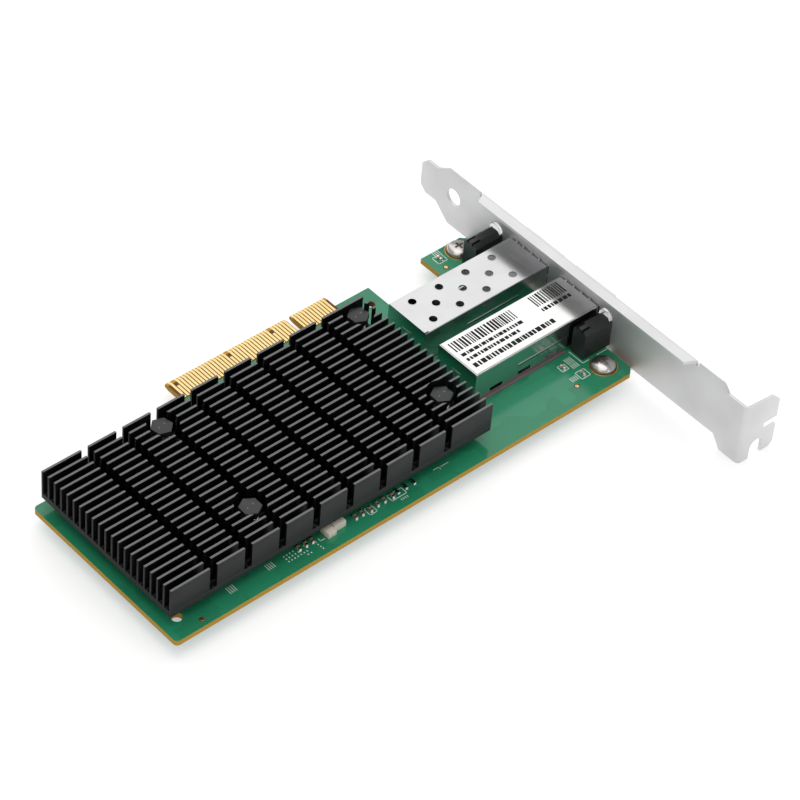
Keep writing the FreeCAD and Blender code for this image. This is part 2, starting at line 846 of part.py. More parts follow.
def build_cage_floor(number, middle):
    """The cage's bottom sheet between its sides, with the hole that a module's latch drops into."""
    floor = Shaped(f"cage_floor_{number}")
    sheet = s.cage_sheet
    near, far = middle - s.cage_width / 2 + sheet, middle + s.cage_width / 2 - sheet
    start = s.cage_rear + s.floor_start
    plate = floor.sketch("XY_Plane", s.cage_lift)
    rectangle(plate, start, s.cage_nose, near, far)
    floor.pad(plate, sheet)
    half = s.latch_hole_side / 2
    hole = floor.sketch("XY_Plane", s.cage_lift)
    tip = s.cage_nose - s.latch_hole_side * 1.4
    outline(hole, [
        (tip, middle), (tip - s.latch_hole_side, middle + half), (tip - s.latch_hole_side, middle - half),
    ])
    floor.pocket(hole, sheet, forwards=True)
    piece(floor.body, f"cage_floor_{number}")


def finger_profile(sketch, nose, surface, outwards):
    """Draw the bent strip of one row of spring fingers, standing off a cage wall."""
    sheet = s.collar_sheet
    rise = s.collar_bulge
    back = nose - s.collar_reach
    crest = nose - s.collar_reach * 0.35
    root = nose - s.collar_band
    outline(sketch, [
        (nose, surface), (root, surface), (crest, surface + outwards * (rise - sheet)),
        (back, surface), (back, surface + outwards * sheet), (crest, surface + outwards * rise),
        (root, surface + outwards * sheet), (nose, surface + outwards * sheet),
    ])


def build_collar(number, middle):
    """The sprung grounding collar round a cage's nose: a band with bowed fingers on four sides."""
    collar = Shaped(f"spring_collar_{number}")
    near, far = middle - s.cage_width / 2, middle + s.cage_width / 2
    sheet = s.collar_sheet
    nose = s.cage_nose
    band = collar.sketch("YZ_Plane", nose - s.collar_band)
    rectangle(band, near - sheet, far + sheet, s.cage_lift - sheet, s.cage_top + sheet)
    rectangle(band, near, far, s.cage_lift, s.cage_top)
    collar.pad(band, s.collar_band)

    inset = s.collar_slot / 2
    top = collar.sketch("XZ_Plane", inset - far)
    finger_profile(top, nose, s.cage_top, 1.0)
    finger_profile(top, nose, s.cage_lift, -1.0)
    collar.pad(top, s.cage_width - s.collar_slot)
    sides = collar.sketch("XY_Plane", s.cage_lift + inset)
    finger_profile(sides, nose, far, 1.0)
    finger_profile(sides, nose, near, -1.0)
    collar.pad(sides, s.cage_top - s.cage_lift - s.collar_slot)

    back = nose - s.collar_reach
    root = nose - s.collar_band
    slots = collar.sketch("XY_Plane", s.cage_top + s.collar_bulge)
    step = s.cage_width / s.collar_fingers
    for copy in range(1, SIZES["collar_fingers"]):
        spot = near + step * copy
        rectangle(slots, back - sheet, root, spot - inset, spot + inset)
    collar.pocket(slots, s.cage_top - s.cage_lift + s.collar_bulge * 2)
    slots = collar.sketch("XZ_Plane", -near + s.collar_bulge)
    step = (s.cage_top - s.cage_lift) / s.collar_side_fingers
    for copy in range(1, SIZES["collar_side_fingers"]):
        spot = s.cage_lift + step * copy
        rectangle(slots, back - sheet, root, spot - inset, spot + inset)
    collar.pocket(slots, s.cage_width + s.collar_bulge * 2)
    piece(collar.body, f"spring_collar_{number}")


def build_connector(number, middle):
    """The card-edge connector at the back of a cage, with its two rows of contact blades."""
    start = s.cage_rear + s.cage_sheet * 2
    housing = Shaped(f"port_connector_{number}")
    side = housing.sketch("XZ_Plane", -middle - s.connector_width / 2)
    end = start + s.connector_depth
    lead = s.connector_height / 4
    outline(side, [
        (start, 0.0), (end, 0.0), (end, s.connector_height - lead / 2),
        (end - lead / 2, s.connector_height), (start + lead, s.connector_height),
        (start, s.connector_height - lead),
    ])
    housing.pad(side, s.connector_width)
    mouth = housing.sketch("YZ_Plane", end)
    half = s.connector_mouth_width / 2
    high = s.connector_mouth_lift + s.connector_mouth_height
    rectangle(mouth, middle - half, middle + half, s.connector_mouth_lift, high)
    housing.pocket(mouth, s.connector_mouth_depth)
    piece(housing.body, f"port_connector_{number}")

    blades = []
    row_start = middle - s.blade_pitch * (s.blade_count - 1) / 2 - s.blade_width / 2
    blade_start = end - s.connector_mouth_depth
    for row, low in enumerate((s.connector_mouth_lift, high - s.blade_thickness)):
        for copy in range(SIZES["blade_count"]):
            corner = (blade_start, row_start + s.blade_pitch * copy, low)
            sides = (s.blade_length, s.blade_width, s.blade_thickness)
            blades.append(box(f"blade_{number}_{row}_{copy}", corner, sides))
    piece(group(f"blades_{number}", blades), f"port_contacts_{number}")


def build_bracket():
    """The folded bracket: slotted tab, stepped plate, stiffening flange, tongue and two lugs."""
    bracket = Shaped("bracket")
    sheet = s.bracket_sheet
    low, high = s.bracket_bottom, s.bracket_bottom + s.bracket_width
    tab_low, tab_high = s.tab_bottom, s.tab_bottom + s.tab_width
    tip = s.bracket_tab_face + s.bracket_length
    tongue_high = s.tongue_bottom + s.tongue_width
    plate = bracket.sketch("YZ_Plane", s.bracket_inner)
    corner = s.tongue_corner
    outline(plate, [
        (s.bracket_tab_face, tab_low), (s.step_start - s.step_run, tab_low), (s.step_start, low),
        (s.shoulder_start, low), (s.tongue_start, s.tongue_bottom), (tip - corner, s.tongue_bottom),
        (tip, s.tongue_bottom + corner), (tip, tongue_high - corner), (tip - corner, tongue_high),
        (s.tongue_start, tongue_high), (s.shoulder_start, high), (s.step_start, high),
        (s.step_start - s.step_run, tab_high), (s.bracket_tab_face, tab_high),
    ])
    bracket.pad(plate, sheet)

    tab = bracket.sketch("XZ_Plane", -s.bracket_tab_face)
    tab_end_place = bracket_outer + s.tab_reach
    outline(tab, [
        (s.bracket_inner, tab_low), (tab_end_place - s.tab_corner / 2, tab_low),
        (tab_end_place, tab_low + s.tab_corner / 2),
        (tab_end_place, tab_high - s.tab_taper - s.tab_corner),
        (tab_end_place - s.tab_corner, tab_high - s.tab_taper), (s.bracket_inner, tab_high),
    ])
    bracket.pad(tab, sheet, backwards=True)

    flange = bracket.sketch("XY_Plane", high)
    lip = s.bracket_inner - s.flange_reach
    outline(flange, [
        (bracket_outer, s.flange_start), (s.bracket_inner, s.flange_start),
        (lip, s.flange_start + s.flange_corner), (lip, s.flange_end - s.flange_corner),
        (s.bracket_inner, s.flange_end), (bracket_outer, s.flange_end),
    ])
    bracket.pad(flange, sheet, backwards=True)

    lugs = bracket.sketch("XY_Plane", board_under)
    for along, across in screw_places:
        end = s.bracket_inner - s.lug_length
        half = s.lug_width / 2
        outline(lugs, [
            (bracket_outer, across - half), (bracket_outer, across + half), (end + half / 2, across + half),
            (end, across + half / 2), (end, across - half / 2), (end + half / 2, across - half),
        ])
    bracket.pad(lugs, sheet, backwards=True)

    bends = [
        (bracket_outer, high, Vector(0, 1, 0)),
        (s.bracket_inner, s.bracket_tab_face, Vector(0, 0, 1)),
    ]
    bracket.fillet(bend_edges(bends), s.bend_radius + sheet)
    inner_bends = [
        (s.bracket_inner, high - sheet, Vector(0, 1, 0)),
        (bracket_outer, s.bracket_tab_face + sheet, Vector(0, 0, 1)),
    ]
    bracket.fillet(bend_edges(inner_bends), s.bend_radius)

    openings = bracket.sketch("YZ_Plane", bracket_outer)
    gap = s.port_window_gap
    for middle in port_places:
        half = s.cage_width / 2 + gap
        rectangle(openings, middle - half, middle + half, s.cage_lift - gap, s.cage_top + gap)
    for across in light_places:
        circle(openings, across, s.lens_lift, s.lens_radius + s.lens_clearance)
    tongue_middle = s.tongue_bottom + s.tongue_width / 2
    circle(openings, s.tongue_hole_along, tongue_middle, s.tongue_hole_radius)
    bracket.pocket(openings, sheet)

    relief = bracket.sketch("YZ_Plane", bracket_outer)
    for place_along in (s.flange_start, s.flange_end):
        half = s.flange_relief / 2
        away = half if place_along is s.flange_end else -half
        rectangle(relief, place_along + away - half, place_along + away + half, high - sheet * 2, high)
    bracket.pocket(relief, sheet)

    slots = bracket.sketch("XZ_Plane", -s.bracket_tab_face)
    middle = s.bracket_inner + s.screw_slot_along
    half = s.screw_slot_width / 2
    slot_end = tab_low + s.screw_slot_depth
    rectangle(slots, middle - half, middle + half, tab_low - half, slot_end - half)
    notch_low = tab_low + s.screw_slot_depth + s.guide_notch_height - s.guide_notch_width / 2
    notch_start = tab_end_place - s.guide_notch_depth
    rectangle(slots, notch_start, tab_end_place + half, notch_low, notch_low + s.guide_notch_width)
    bracket.pocket(slots, sheet)
    round_end = bracket.sketch("XZ_Plane", -s.bracket_tab_face)
    circle(round_end, middle, slot_end - half, half)
    bracket.pocket(round_end, sheet)

    threads = bracket.sketch("XY_Plane", board_under)
    for along, across in screw_places:
        circle(threads, along, across, s.screw_radius)
    bracket.pocket(threads, sheet)
    piece(bracket.body, "bracket")


def bend_edges(bends):
    """Pick straight edges by where they lie across their own direction."""
    spots = [(first.value, second.value, axis) for first, second, axis in bends]

    def pick(edge):
        middle = edge.CenterOfMass
        for first, second, axis in spots:
            across = middle.z if axis.y else middle.y
            near = math.hypot(middle.x - first, across - second) < 0.01
            if near and runs_along(edge, axis):
                return True
        return False

    return pick


def build_screws():
    """Two pan-head screws through the board into the bracket's lugs, and the copper round each."""
    screws = []
    lands = []
    for number, (along, across) in enumerate(screw_places):
        seat = s.land_plating
        length = s.board_thickness + s.bracket_sheet + s.screw_tip
        foot = (along, across, -length)
        shank = prism(f"screw_shank_{number}", foot, s.screw_radius, length + seat, ROUND_SIDES)
        rim = s.screw_head_height * 0.45
        disc = rod(f"screw_rim_{number}", (along, across, seat), s.screw_head_radius, rim)
        crown_foot = (along, across, seat + rim)
        crown_radius = s.screw_head_radius * 0.62
        crown = cone(f"screw_crown_{number}", crown_foot, s.screw_head_radius, crown_radius,
                     s.screw_head_height - rim)
        top = seat + s.screw_head_height
        half_long, half_wide = s.recess_length / 2, s.recess_width / 2
        recess_low = top - s.recess_depth
        first = box(f"recess_long_{number}", (along - half_long, across - half_wide, recess_low),
                    (s.recess_length, s.recess_width, s.recess_depth))
        second = box(f"recess_wide_{number}", (along - half_wide, across - half_long, recess_low),
                     (s.recess_width, s.recess_length, s.recess_depth))
        blank = fuse(f"screw_blank_{number}", [shank, disc, crown])
        screws.append(cut(f"screw_{number}", blank, fuse(f"recess_{number}", [first, second])))
        middle = (along, across, 0.0)
        hole_radius = s.screw_radius + s.screw_clearance
        plate = prism(f"land_disc_{number}", middle, s.land_radius, s.land_plating, LAND_SIDES)
        hole = prism(f"land_hole_{number}", middle, hole_radius, s.land_plating, ROUND_SIDES)
        lands.append(cut(f"land_{number}", plate, hole))
    piece(group("pan_head_screws", screws), "bracket_screws")
    piece(group("copper_lands", lands), "screw_lands")


def build_lights():
    """The black indicator housings beside the cages, each with a clear lens through the bracket."""
    for number, across in enumerate(light_places, start=1):
        housing = Shaped(f"light_housing_{number}")
        near, far = across - s.light_housing_width / 2, across + s.light_housing_width / 2
        cut_size = s.light_chamfer
        front = housing.sketch("YZ_Plane", s.light_housing_start)
        outline(front, [
            (near, 0.0), (far, 0.0), (far, s.light_housing_height - cut_size),
            (far - cut_size, s.light_housing_height), (near + cut_size, s.light_housing_height),
            (near, s.light_housing_height - cut_size),
        ])
        housing.pad(front, s.bracket_inner - s.light_housing_start)
        slots = housing.sketch("XY_Plane", s.light_housing_height)
        for side in (-1.0, 1.0):
            middle = across + s.light_housing_width * side / 5
            half = s.light_slot_width / 2
            start = s.light_housing_start
            rectangle(slots, start, start + s.light_slot_length, middle - half, middle + half)
        housing.pocket(slots, s.light_slot_depth)
        socket = housing.sketch("YZ_Plane", s.bracket_inner)
        circle(socket, across, s.lens_lift, s.lens_radius)
        housing.pocket(socket, s.lens_socket)
        piece(housing.body, f"light_housing_{number}")

        root = s.bracket_inner - s.lens_socket
        length = s.lens_socket + s.bracket_sheet + s.lens_stand_out
        stem = rod(f"lens_{number}", (root, across, s.lens_lift), s.lens_radius, length, Vector(1, 0, 0))
        piece(stem, f"light_lens_{number}")


def build_label():
    """The product label stuck on the top of the second cage."""
    start = s.cage_rear + s.label_start
    corner = (start, port_places[1] - s.label_width / 2, s.cage_top)
    sides = (s.label_length, s.label_width, s.label_thickness)
    piece(box("label_sheet", corner, sides), "product_label")


def small_parts(label, kind, low, spots, name):
    """Like components of one kind at their places on a face of the board."""
    blocks = []
    for number, (along, across, turned) in enumerate(spots):
        length, width, height = kind
        sides = (width, length, height) if turned else (length, width, height)
        blocks.append(centred_block(f"{name}_{number}", as_length(along), as_length(across), low, sides))
    piece(group(f"{name}_set", blocks), label)


def block_size(kind):
    """The length, width and height of one kind of component."""
    return tuple(getattr(s, f"{kind}_{side}") for side in ("length", "width", "height"))


def build_small_components():
    """Everything soldered to the board beside the controller."""
    for label, kind, spots in SOLDERED:
        small_parts(label, block_size(kind), 0.0, spots, kind)
    under = board_under - s.capacitor_height
    small_parts("solder_side_capacitors", block_size("capacitor"), under, UNDER_CAPACITORS, "under_capacitor")


def check_and_export():
    """Refuse any failed object, then write each sub-part's solid to its own file."""
    DOC.recompute()
    for item in DOC.Objects:
        if "Invalid" in item.State or "Error" in item.State:
            raise ValueError(f"{item.Name} failed: {item.State}")
    os.makedirs("parts", exist_ok=True)
    for item in PIECES:
        if item.Shape.isNull() or not item.Shape.isValid():
            raise ValueError(f"{item.Label} has no valid shape")
    for item in PIECES:
        item.Shape.exportStep(f"parts/{item.Label}.step")
        print(item.Label, len(item.Shape.Solids), round(item.Shape.Volume, 2))


build_circuit_board()
build_edge_contacts()
build_heat_sink()
build_push_pins()
build_controller()
for port_number, port_middle in enumerate(port_places, start=1):
    build_cage(port_number, port_middle)
    build_cage_floor(port_number, port_middle)
    build_collar(port_number, port_middle)
    build_connector(port_number, port_middle)
build_bracket()
build_screws()
build_lights()
build_label()
build_small_components()
check_and_export()
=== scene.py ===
"""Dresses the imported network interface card: finishes, soldered parts, print and the studio."""
import logging
import math
import random
from dataclasses import dataclass
from enum import Enum
from typing import Any, Iterable, Sequence

import bmesh
import bpy
from mathutils import Matrix, Vector


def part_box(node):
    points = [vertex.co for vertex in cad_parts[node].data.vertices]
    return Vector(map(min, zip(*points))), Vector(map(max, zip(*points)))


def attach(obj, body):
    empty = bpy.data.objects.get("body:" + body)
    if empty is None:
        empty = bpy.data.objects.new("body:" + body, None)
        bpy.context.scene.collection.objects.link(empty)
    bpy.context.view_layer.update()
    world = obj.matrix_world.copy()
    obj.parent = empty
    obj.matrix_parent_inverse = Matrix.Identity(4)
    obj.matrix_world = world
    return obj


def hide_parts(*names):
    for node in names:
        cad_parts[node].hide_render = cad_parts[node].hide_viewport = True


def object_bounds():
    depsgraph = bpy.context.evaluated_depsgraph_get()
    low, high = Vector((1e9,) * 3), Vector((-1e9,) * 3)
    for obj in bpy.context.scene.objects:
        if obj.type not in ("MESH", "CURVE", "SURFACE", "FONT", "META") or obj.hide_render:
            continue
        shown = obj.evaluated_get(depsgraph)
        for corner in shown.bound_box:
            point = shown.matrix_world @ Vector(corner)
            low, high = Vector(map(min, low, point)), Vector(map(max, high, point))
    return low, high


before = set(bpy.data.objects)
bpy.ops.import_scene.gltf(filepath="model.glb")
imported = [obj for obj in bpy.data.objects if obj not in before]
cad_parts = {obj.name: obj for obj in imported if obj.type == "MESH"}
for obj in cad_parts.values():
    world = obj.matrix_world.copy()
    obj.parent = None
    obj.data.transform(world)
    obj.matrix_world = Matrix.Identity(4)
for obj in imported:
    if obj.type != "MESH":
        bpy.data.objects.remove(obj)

LOG = logging.getLogger("card")
CAD_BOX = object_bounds()
MM = 0.001
BODY = "root"
WHITE = (1.0, 1.0, 1.0, 1.0)
SHARP_ANGLE = math.radians(34)
Point = tuple[float, float, float]
Spot = tuple[float, float]
Quad = tuple[float, float, float, float]
Corners = tuple[Point, Point]
Tree = bpy.types.NodeTree
Node = bpy.types.Node
Socket = bpy.types.NodeSocket
Thing = bpy.types.Object


class Slot(Enum):
    """The record's material slots, handed to each new piece's builder, which does not read them."""

    LAMINATE = "laminate"
    GOLD = "gold"
    PIN = "pin_plastic"
    SPRING = "spring_wire"
    CAGE = "cage_sheet"
    SCREW = "screw_steel"
    SINK = "black_anodised"
    COPPER = "copper"
    LABEL = "label_paper"
    CERAMIC = "ceramic"
    RESISTOR = "resistor_body"
    TANTALUM = "tantalum_case"


def linear(hex_colour: str) -> Quad:
    """Turn an sRGB hex colour to linear light.

    Args:
        hex_colour: Six hex digits after a hash sign.

    Returns:
        Red, green, blue and an alpha of one.
    """
    parts = [int(hex_colour[start:start + 2], 16) / 255 for start in (1, 3, 5)]
    light = [part / 12.92 if part <= 0.04045 else ((part + 0.055) / 1.055) ** 2.4 for part in parts]
    return (light[0], light[1], light[2], 1.0)


def add_node(tree: Tree, kind: str, settings: dict[str | int, Any] | None = None) -> Node:
    """Add a node with its settings and links.

    Args:
        tree: The tree that the node goes into.
        kind: Blender's name of the node's class, after ShaderNode.
        settings: By property name, or by an input's name or number: a value, a hex colour, or the
            output socket that feeds it.

    Returns:
        The new node.
    """
    node = tree.nodes.new("ShaderNode" + kind)
    for key, value in (settings or {}).items():
        if isinstance(value, Socket):
            tree.links.new(value, node.inputs[key])
        elif isinstance(key, int) or key in node.inputs:
            node.inputs[key].default_value = linear(value) if isinstance(value, str) else value
        else:
            setattr(node, key, value)
    return node


@dataclass(frozen=True)
class Finish:
    """A material by what it is made of and how its surface was made."""

    name: str
    colour: str
    roughness: float
    metallic: float = 0.0

    def material(self) -> bpy.types.Material:
        """Build the material the first time, and give the same one afterwards.

        Returns:
            The node material.
        """
        found = bpy.data.materials.get(self.name)
        if found:
            return found
        made = bpy.data.materials.new(self.name)
        made.use_nodes = True
        tree = made.node_tree
        tree.nodes.clear()
        shader = add_node(tree, "BsdfPrincipled", {
            "Base Color": self.colour, "Roughness": self.roughness, "Metallic": self.metallic,
        })
        add_node(tree, "OutputMaterial", {"Surface": shader.outputs["BSDF"]})
        self.work_surface(tree, shader, add_node(tree, "TexCoord").outputs["Object"])
        return made

    def work_surface(self, tree: Tree, shader: Node, place: Socket) -> None:
        """Add the marks that making and handling leave; a plain finish has none.

        Args:
            tree: The material's nodes.
            shader: The surface shader.
            place: The point on the object, in metres.
        """

    def dress(self, *nodes: str) -> None:
        """Put this finish on CAD nodes.

        Args:
            nodes: Names of the CAD nodes.
        """
        for node in nodes:
            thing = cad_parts[node]
            thing.data.materials.clear()
            thing.data.materials.append(self.material())
            LOG.info("%s wears %s", node, self.name)


@dataclass(frozen=True)
class GrainedFinish(Finish):
    """A surface with a fine grain, its own roughness range and faint patches from handling.

    Real grain is mostly finer than a tenth of a millimetre, and is drawn as coarse as it needs to show.
    """

    grain: Point = (0.3, 0.3, 0.3)
    depth: float = 0.01
    spread: float = 0.08
    smoothest: float = 0.02
    patch_size: float = 9.0
    patch_colour: str = "#000000"
    patch_share: float = 0.08

    def work_surface(self, tree: Tree, shader: Node, place: Socket) -> None:
        """Drive colour, roughness and bump from grain and patches.

        Args:
            tree: The material's nodes.
            shader: The surface shader.
            place: The point on the object, in metres.
        """
        scale = tuple(1.0 / (size * MM) for size in self.grain)
        stretched = add_node(tree, "Mapping", {"Scale": scale, "Vector": place})
        grain = add_node(tree, "TexNoise", {
            "Scale": 1.0, "Detail": 3.0, "Roughness": 0.6, "Vector": stretched.outputs["Vector"],
        }).outputs["Fac"]
        patches = add_node(tree, "TexNoise", {
            "Scale": 1.0 / (self.patch_size * MM), "Detail": 2.0, "Vector": place,
        }).outputs["Fac"]
        both = add_node(tree, "Math", {"operation": "MULTIPLY_ADD", 0: grain, 1: 0.5, 2: patches})
        rough = add_node(tree, "MapRange", {
            "From Min": 0.35, "From Max": 1.1, "Value": both.outputs[0],
            "To Min": max(self.roughness - self.spread, self.smoothest),
            "To Max": self.roughness + self.spread,
        })
        tree.links.new(rough.outputs["Result"], shader.inputs["Roughness"])
        share = add_node(tree, "MapRange", {
            "From Min": 0.4, "From Max": 0.7, "Value": patches,
            "To Min": 0.0, "To Max": self.patch_share,
        })
        colour = add_node(tree, "Mix", {
            "data_type": "RGBA", 0: share.outputs["Result"], 6: self.colour, 7: self.patch_colour,
        })
        tree.links.new(colour.outputs[2], shader.inputs["Base Color"])
        bump = add_node(tree, "Bump", {"Strength": 1.0, "Distance": self.depth * MM, "Height": grain})
        tree.links.new(bump.outputs["Normal"], shader.inputs["Normal"])


@dataclass(frozen=True)
class ExtrudedAnodised(GrainedFinish):
    """Black anodised aluminium: die lines along the fins, with painted light on the fin tops and near
    face.
    """

    # Painted highlight on the fin tops above top_height, and painted light on the near face past
    # side_line.
    top_highlight_colour: str = "#707072"
    top_height: float = 12.44
    top_fade: float = 0.02
    near_face_light_colour: str = "#2b2b2d"
    side_line: float = -64.45
    sheen: float = 0.22

    def work_surface(self, tree: Tree, shader: Node, place: Socket) -> None:
        """Paint a highlight on the fin tops and light on the outermost near face over the grained
        surface.

        Args:
            tree: The material's nodes.
            shader: The surface shader.
            place: The point on the object, in metres.
        """
        super().work_surface(tree, shader, place)
        grained = shader.inputs["Base Color"].links[0].from_socket
        axes = add_node(tree, "SeparateXYZ", {0: place}).outputs
        # Painted light: the outermost near face is lighter than the shaded inner fins.
        near_face_mask = add_node(tree, "Math", {
            "operation": "LESS_THAN", 0: axes["Y"], 1: self.side_line * MM,
        })
        side_lit = add_node(tree, "Mix", {
            "data_type": "RGBA", 0: near_face_mask.outputs[0], 6: grained, 7: self.near_face_light_colour,
        })
        # Painted highlight: the fin tops turn lighter over top_fade below top_height.
        upper = add_node(tree, "MapRange", {
            "From Min": (self.top_height - self.top_fade) * MM, "From Max": self.top_height * MM,
            "Value": axes["Z"],
        })
        highlighted = add_node(tree, "Mix", {
            "data_type": "RGBA", 0: upper.outputs["Result"], 6: side_lit.outputs[2], 7: self.top_highlight_colour,
        })
        tree.links.new(highlighted.outputs[2], shader.inputs["Base Color"])
        shader.inputs["Specular IOR Level"].default_value = self.sheen


@dataclass(frozen=True)
class MaskedLaminate(Finish):
    """Glass-epoxy laminate under green solder mask, bare and amber on its edges and contact tab."""

    laminate: str = "#d3a63c"
    weave: str = "#a98226"
    weave_size: float = 0.35
    bare_roughness: float = 0.8
    level: float = 0.97
    tab: str = "#6a3f14"
    tab_line: float = -7.3
    tab_end: float = 12.7
    copper_tint: str = "#2b8d67"
    copper_height: float = 0.03
    area_size: float = 7.0
    unpoured: float = 0.45
    track_tint: str = "#298a63"
    track_pitch: float = 0.9
    track_run: float = 9.0
    track_gap: float = 0.14

    def work_surface(self, tree: Tree, shader: Node, place: Socket) -> None:
        """Show poured copper and tracks through the mask, and laminate where no mask lies.

        Args:
            tree: The material's nodes.
            shader: The surface shader.
            place: The point on the object, in metres.
        """
        axes = add_node(tree, "SeparateXYZ", {0: place}).outputs
        normal = add_node(tree, "NewGeometry").outputs["True Normal"]
        facing = add_node(tree, "SeparateXYZ", {0: normal}).outputs
        upright = add_node(tree, "Math", {"operation": "ABSOLUTE", 0: facing["Z"]})
        masked = add_node(tree, "Math", {
            "operation": "GREATER_THAN", 0: upright.outputs[0], 1: self.level,
        }).outputs[0]
        past_line = add_node(tree, "Math", {
            "operation": "GREATER_THAN", 0: axes["Y"], 1: self.tab_line * MM,
        })
        before_end = add_node(tree, "Math", {
            "operation": "LESS_THAN", 0: axes["X"], 1: self.tab_end * MM,
        })
        on_tab = add_node(tree, "Math", {
            "operation": "MULTIPLY", 0: past_line.outputs[0], 1: before_end.outputs[0],
        }).outputs[0]
        areas = add_node(tree, "TexVoronoi", {
            "distance": "CHEBYCHEV", "Scale": 1.0 / (self.area_size * MM), "Vector": place,
        })
        drawn = add_node(tree, "SeparateColor", {0: areas.outputs["Color"]}).outputs
        poured = add_node(tree, "Math", {
            "operation": "GREATER_THAN", 0: drawn[0], 1: self.unpoured,
        }).outputs[0]
        turned = add_node(tree, "Mapping", {"Rotation": (0.0, 0.0, math.radians(45)), "Vector": place})
        tracks = add_node(tree, "TexBrick", {
            "Scale": 1.0, "Brick Width": self.track_run * MM, "Row Height": self.track_pitch * MM,
            "Mortar Size": self.track_gap * MM, "Color1": WHITE, "Color2": (0.7, 0.7, 0.7, 1),
            "Mortar": (0, 0, 0, 1), "offset": 0.37, "Vector": turned.outputs["Vector"],
        })
        tracked = add_node(tree, "Math", {
            "operation": "MULTIPLY", 0: tracks.outputs["Fac"], 1: drawn[1],
        }).outputs[0]
        weave = add_node(tree, "TexNoise", {
            "Scale": 1.0 / (self.weave_size * MM), "Detail": 2.0, "Vector": place,
        }).outputs["Fac"]
        colour = self.colour
        for share, over in ((poured, self.copper_tint), (tracked, self.track_tint), (on_tab, self.tab)):
            layer = add_node(tree, "Mix", {"data_type": "RGBA", 0: share, 6: colour, 7: over})
            colour = layer.outputs[2]
        edge = add_node(tree, "Mix", {"data_type": "RGBA", 0: weave, 6: self.laminate, 7: self.weave})
        whole = add_node(tree, "Mix", {"data_type": "RGBA", 0: masked, 6: edge.outputs[2], 7: colour})
        tree.links.new(whole.outputs[2], shader.inputs["Base Color"])
        glossy = add_node(tree, "Math", {
            "operation": "SUBTRACT", "use_clamp": True, 0: masked, 1: on_tab,
        })
        rough = add_node(tree, "MapRange", {
            "To Min": self.bare_roughness, "To Max": self.roughness, "Value": glossy.outputs[0],
        })
        tree.links.new(rough.outputs["Result"], shader.inputs["Roughness"])
        relief = add_node(tree, "Math", {"operation": "ADD", 0: poured, 1: tracked})
        bump = add_node(tree, "Bump", {
            "Strength": 0.6, "Distance": self.copper_height * MM, "Height": relief.outputs[0],
        })
        tree.links.new(bump.outputs["Normal"], shader.inputs["Normal"])


@dataclass(frozen=True)
class ClearPolycarbonate(Finish):
    """Moulded clear polycarbonate: passes light and bends it."""

    clearness: float = 0.85
    refraction: float = 1.585
    ripple_size: float = 1.5
    ripple_height: float = 0.02

    def work_surface(self, tree: Tree, shader: Node, place: Socket) -> None:
        """Let light through a faintly rippled surface.

        Args:
            tree: The material's nodes.
            shader: The surface shader.
            place: The point on the object, in metres.
        """
        shader.inputs["Transmission Weight"].default_value = self.clearness
        shader.inputs["IOR"].default_value = self.refraction
        ripple = add_node(tree, "TexNoise", {"Scale": 1.0 / (self.ripple_size * MM), "Vector": place})
        bump = add_node(tree, "Bump", {
            "Strength": 0.4, "Distance": self.ripple_height * MM, "Height": ripple.outputs["Fac"],
        })
        tree.links.new(bump.outputs["Normal"], shader.inputs["Normal"])


# Solder mask is a glossy printed varnish: even green, with the copper under it a shade lighter.
SOLDER_MASK = MaskedLaminate("solder_mask_on_glass_epoxy", "#26855f", 0.13)
# Hard gold over nickel is electroplated: yellow, bright, with hair lines where it was wiped.
HARD_GOLD = GrainedFinish("hard_gold_plate", "#efd396", 0.24, 1.0, grain=(0.12, 1.6, 0.12),
                          depth=0.004, patch_colour="#d9b468", patch_share=0.25)
# Extruded aluminium keeps die lines along the fins; black dye in the anodised skin leaves little sheen.
ANODISED = ExtrudedAnodised("black_anodised_aluminium", "#060607", 0.5, grain=(9.0, 0.16, 0.16),
                            patch_colour="#101011", patch_share=0.35)
# Glass-filled nylon is moulded: dark grey, a faint grain and a soft shine.
PIN_NYLON = GrainedFinish("moulded_nylon", "#242527", 0.4, grain=(0.25, 0.25, 0.25), depth=0.008,
                          patch_colour="#303133", patch_share=0.3)
# Where the gate was broken off, the nylon is stressed pale.
GATE_MARK = GrainedFinish("broken_nylon_gate", "#77787a", 0.5, grain=(0.1, 0.1, 0.1))
# Music wire is drawn: bright, with lines along it.
SPRING_WIRE = GrainedFinish("drawn_spring_steel", "#b9babd", 0.24, 1.0, grain=(0.2, 0.2, 0.08),
                            depth=0.004)
# Silicone gap pad is cast: matt and grey.
GAP_PAD = GrainedFinish("cast_silicone_pad", "#8b8f94", 0.8, grain=(0.4, 0.4, 0.4), depth=0.02)
# Epoxy mould compound is nearly black and matt, with the die's spark grain.
EPOXY_BLACK = GrainedFinish("moulded_epoxy", "#1b1b1d", 0.5, grain=(0.18, 0.18, 0.18), depth=0.012)
# Nickel silver sheet is rolled bright: mirror-like along the roll with soft streaks.
CAGE_SHEET = GrainedFinish("rolled_nickel_silver", "#cfcfd0", 0.2, 1.0, grain=(7.0, 0.25, 0.25),
                           depth=0.002, spread=0.05, patch_colour="#b6b5b3", patch_share=0.22)
# Spring copper alloy is tin plated: brighter and whiter than the cage.
COLLAR_SHEET = GrainedFinish("tin_plated_spring_copper", "#dcdcd9", 0.22, 1.0,
                             grain=(1.2, 0.3, 0.3), depth=0.003, patch_share=0.1)
# Liquid-crystal polymer is moulded: black, slightly streaked where it flowed.
# The same black also stands as painted shade over the cage's wall slots and at its rear corner.
CONNECTOR_POLYMER_AND_SHADE = GrainedFinish("moulded_liquid_crystal_polymer_and_shade", "#1d1d1f", 0.45,
                                  grain=(1.4, 0.3, 0.3), patch_colour="#303033",
                                  patch_share=0.3)
# Low-carbon steel is stamped and nickel plated: satin, with the sheet's long rolling grain.
BRACKET_STEEL = GrainedFinish("nickel_plated_steel", "#dededf", 0.6, 1.0, grain=(0.3, 9.0, 0.3),
                              depth=0.002, spread=0.05, patch_size=16.0, patch_colour="#b2b2b4",
                              patch_share=0.2)
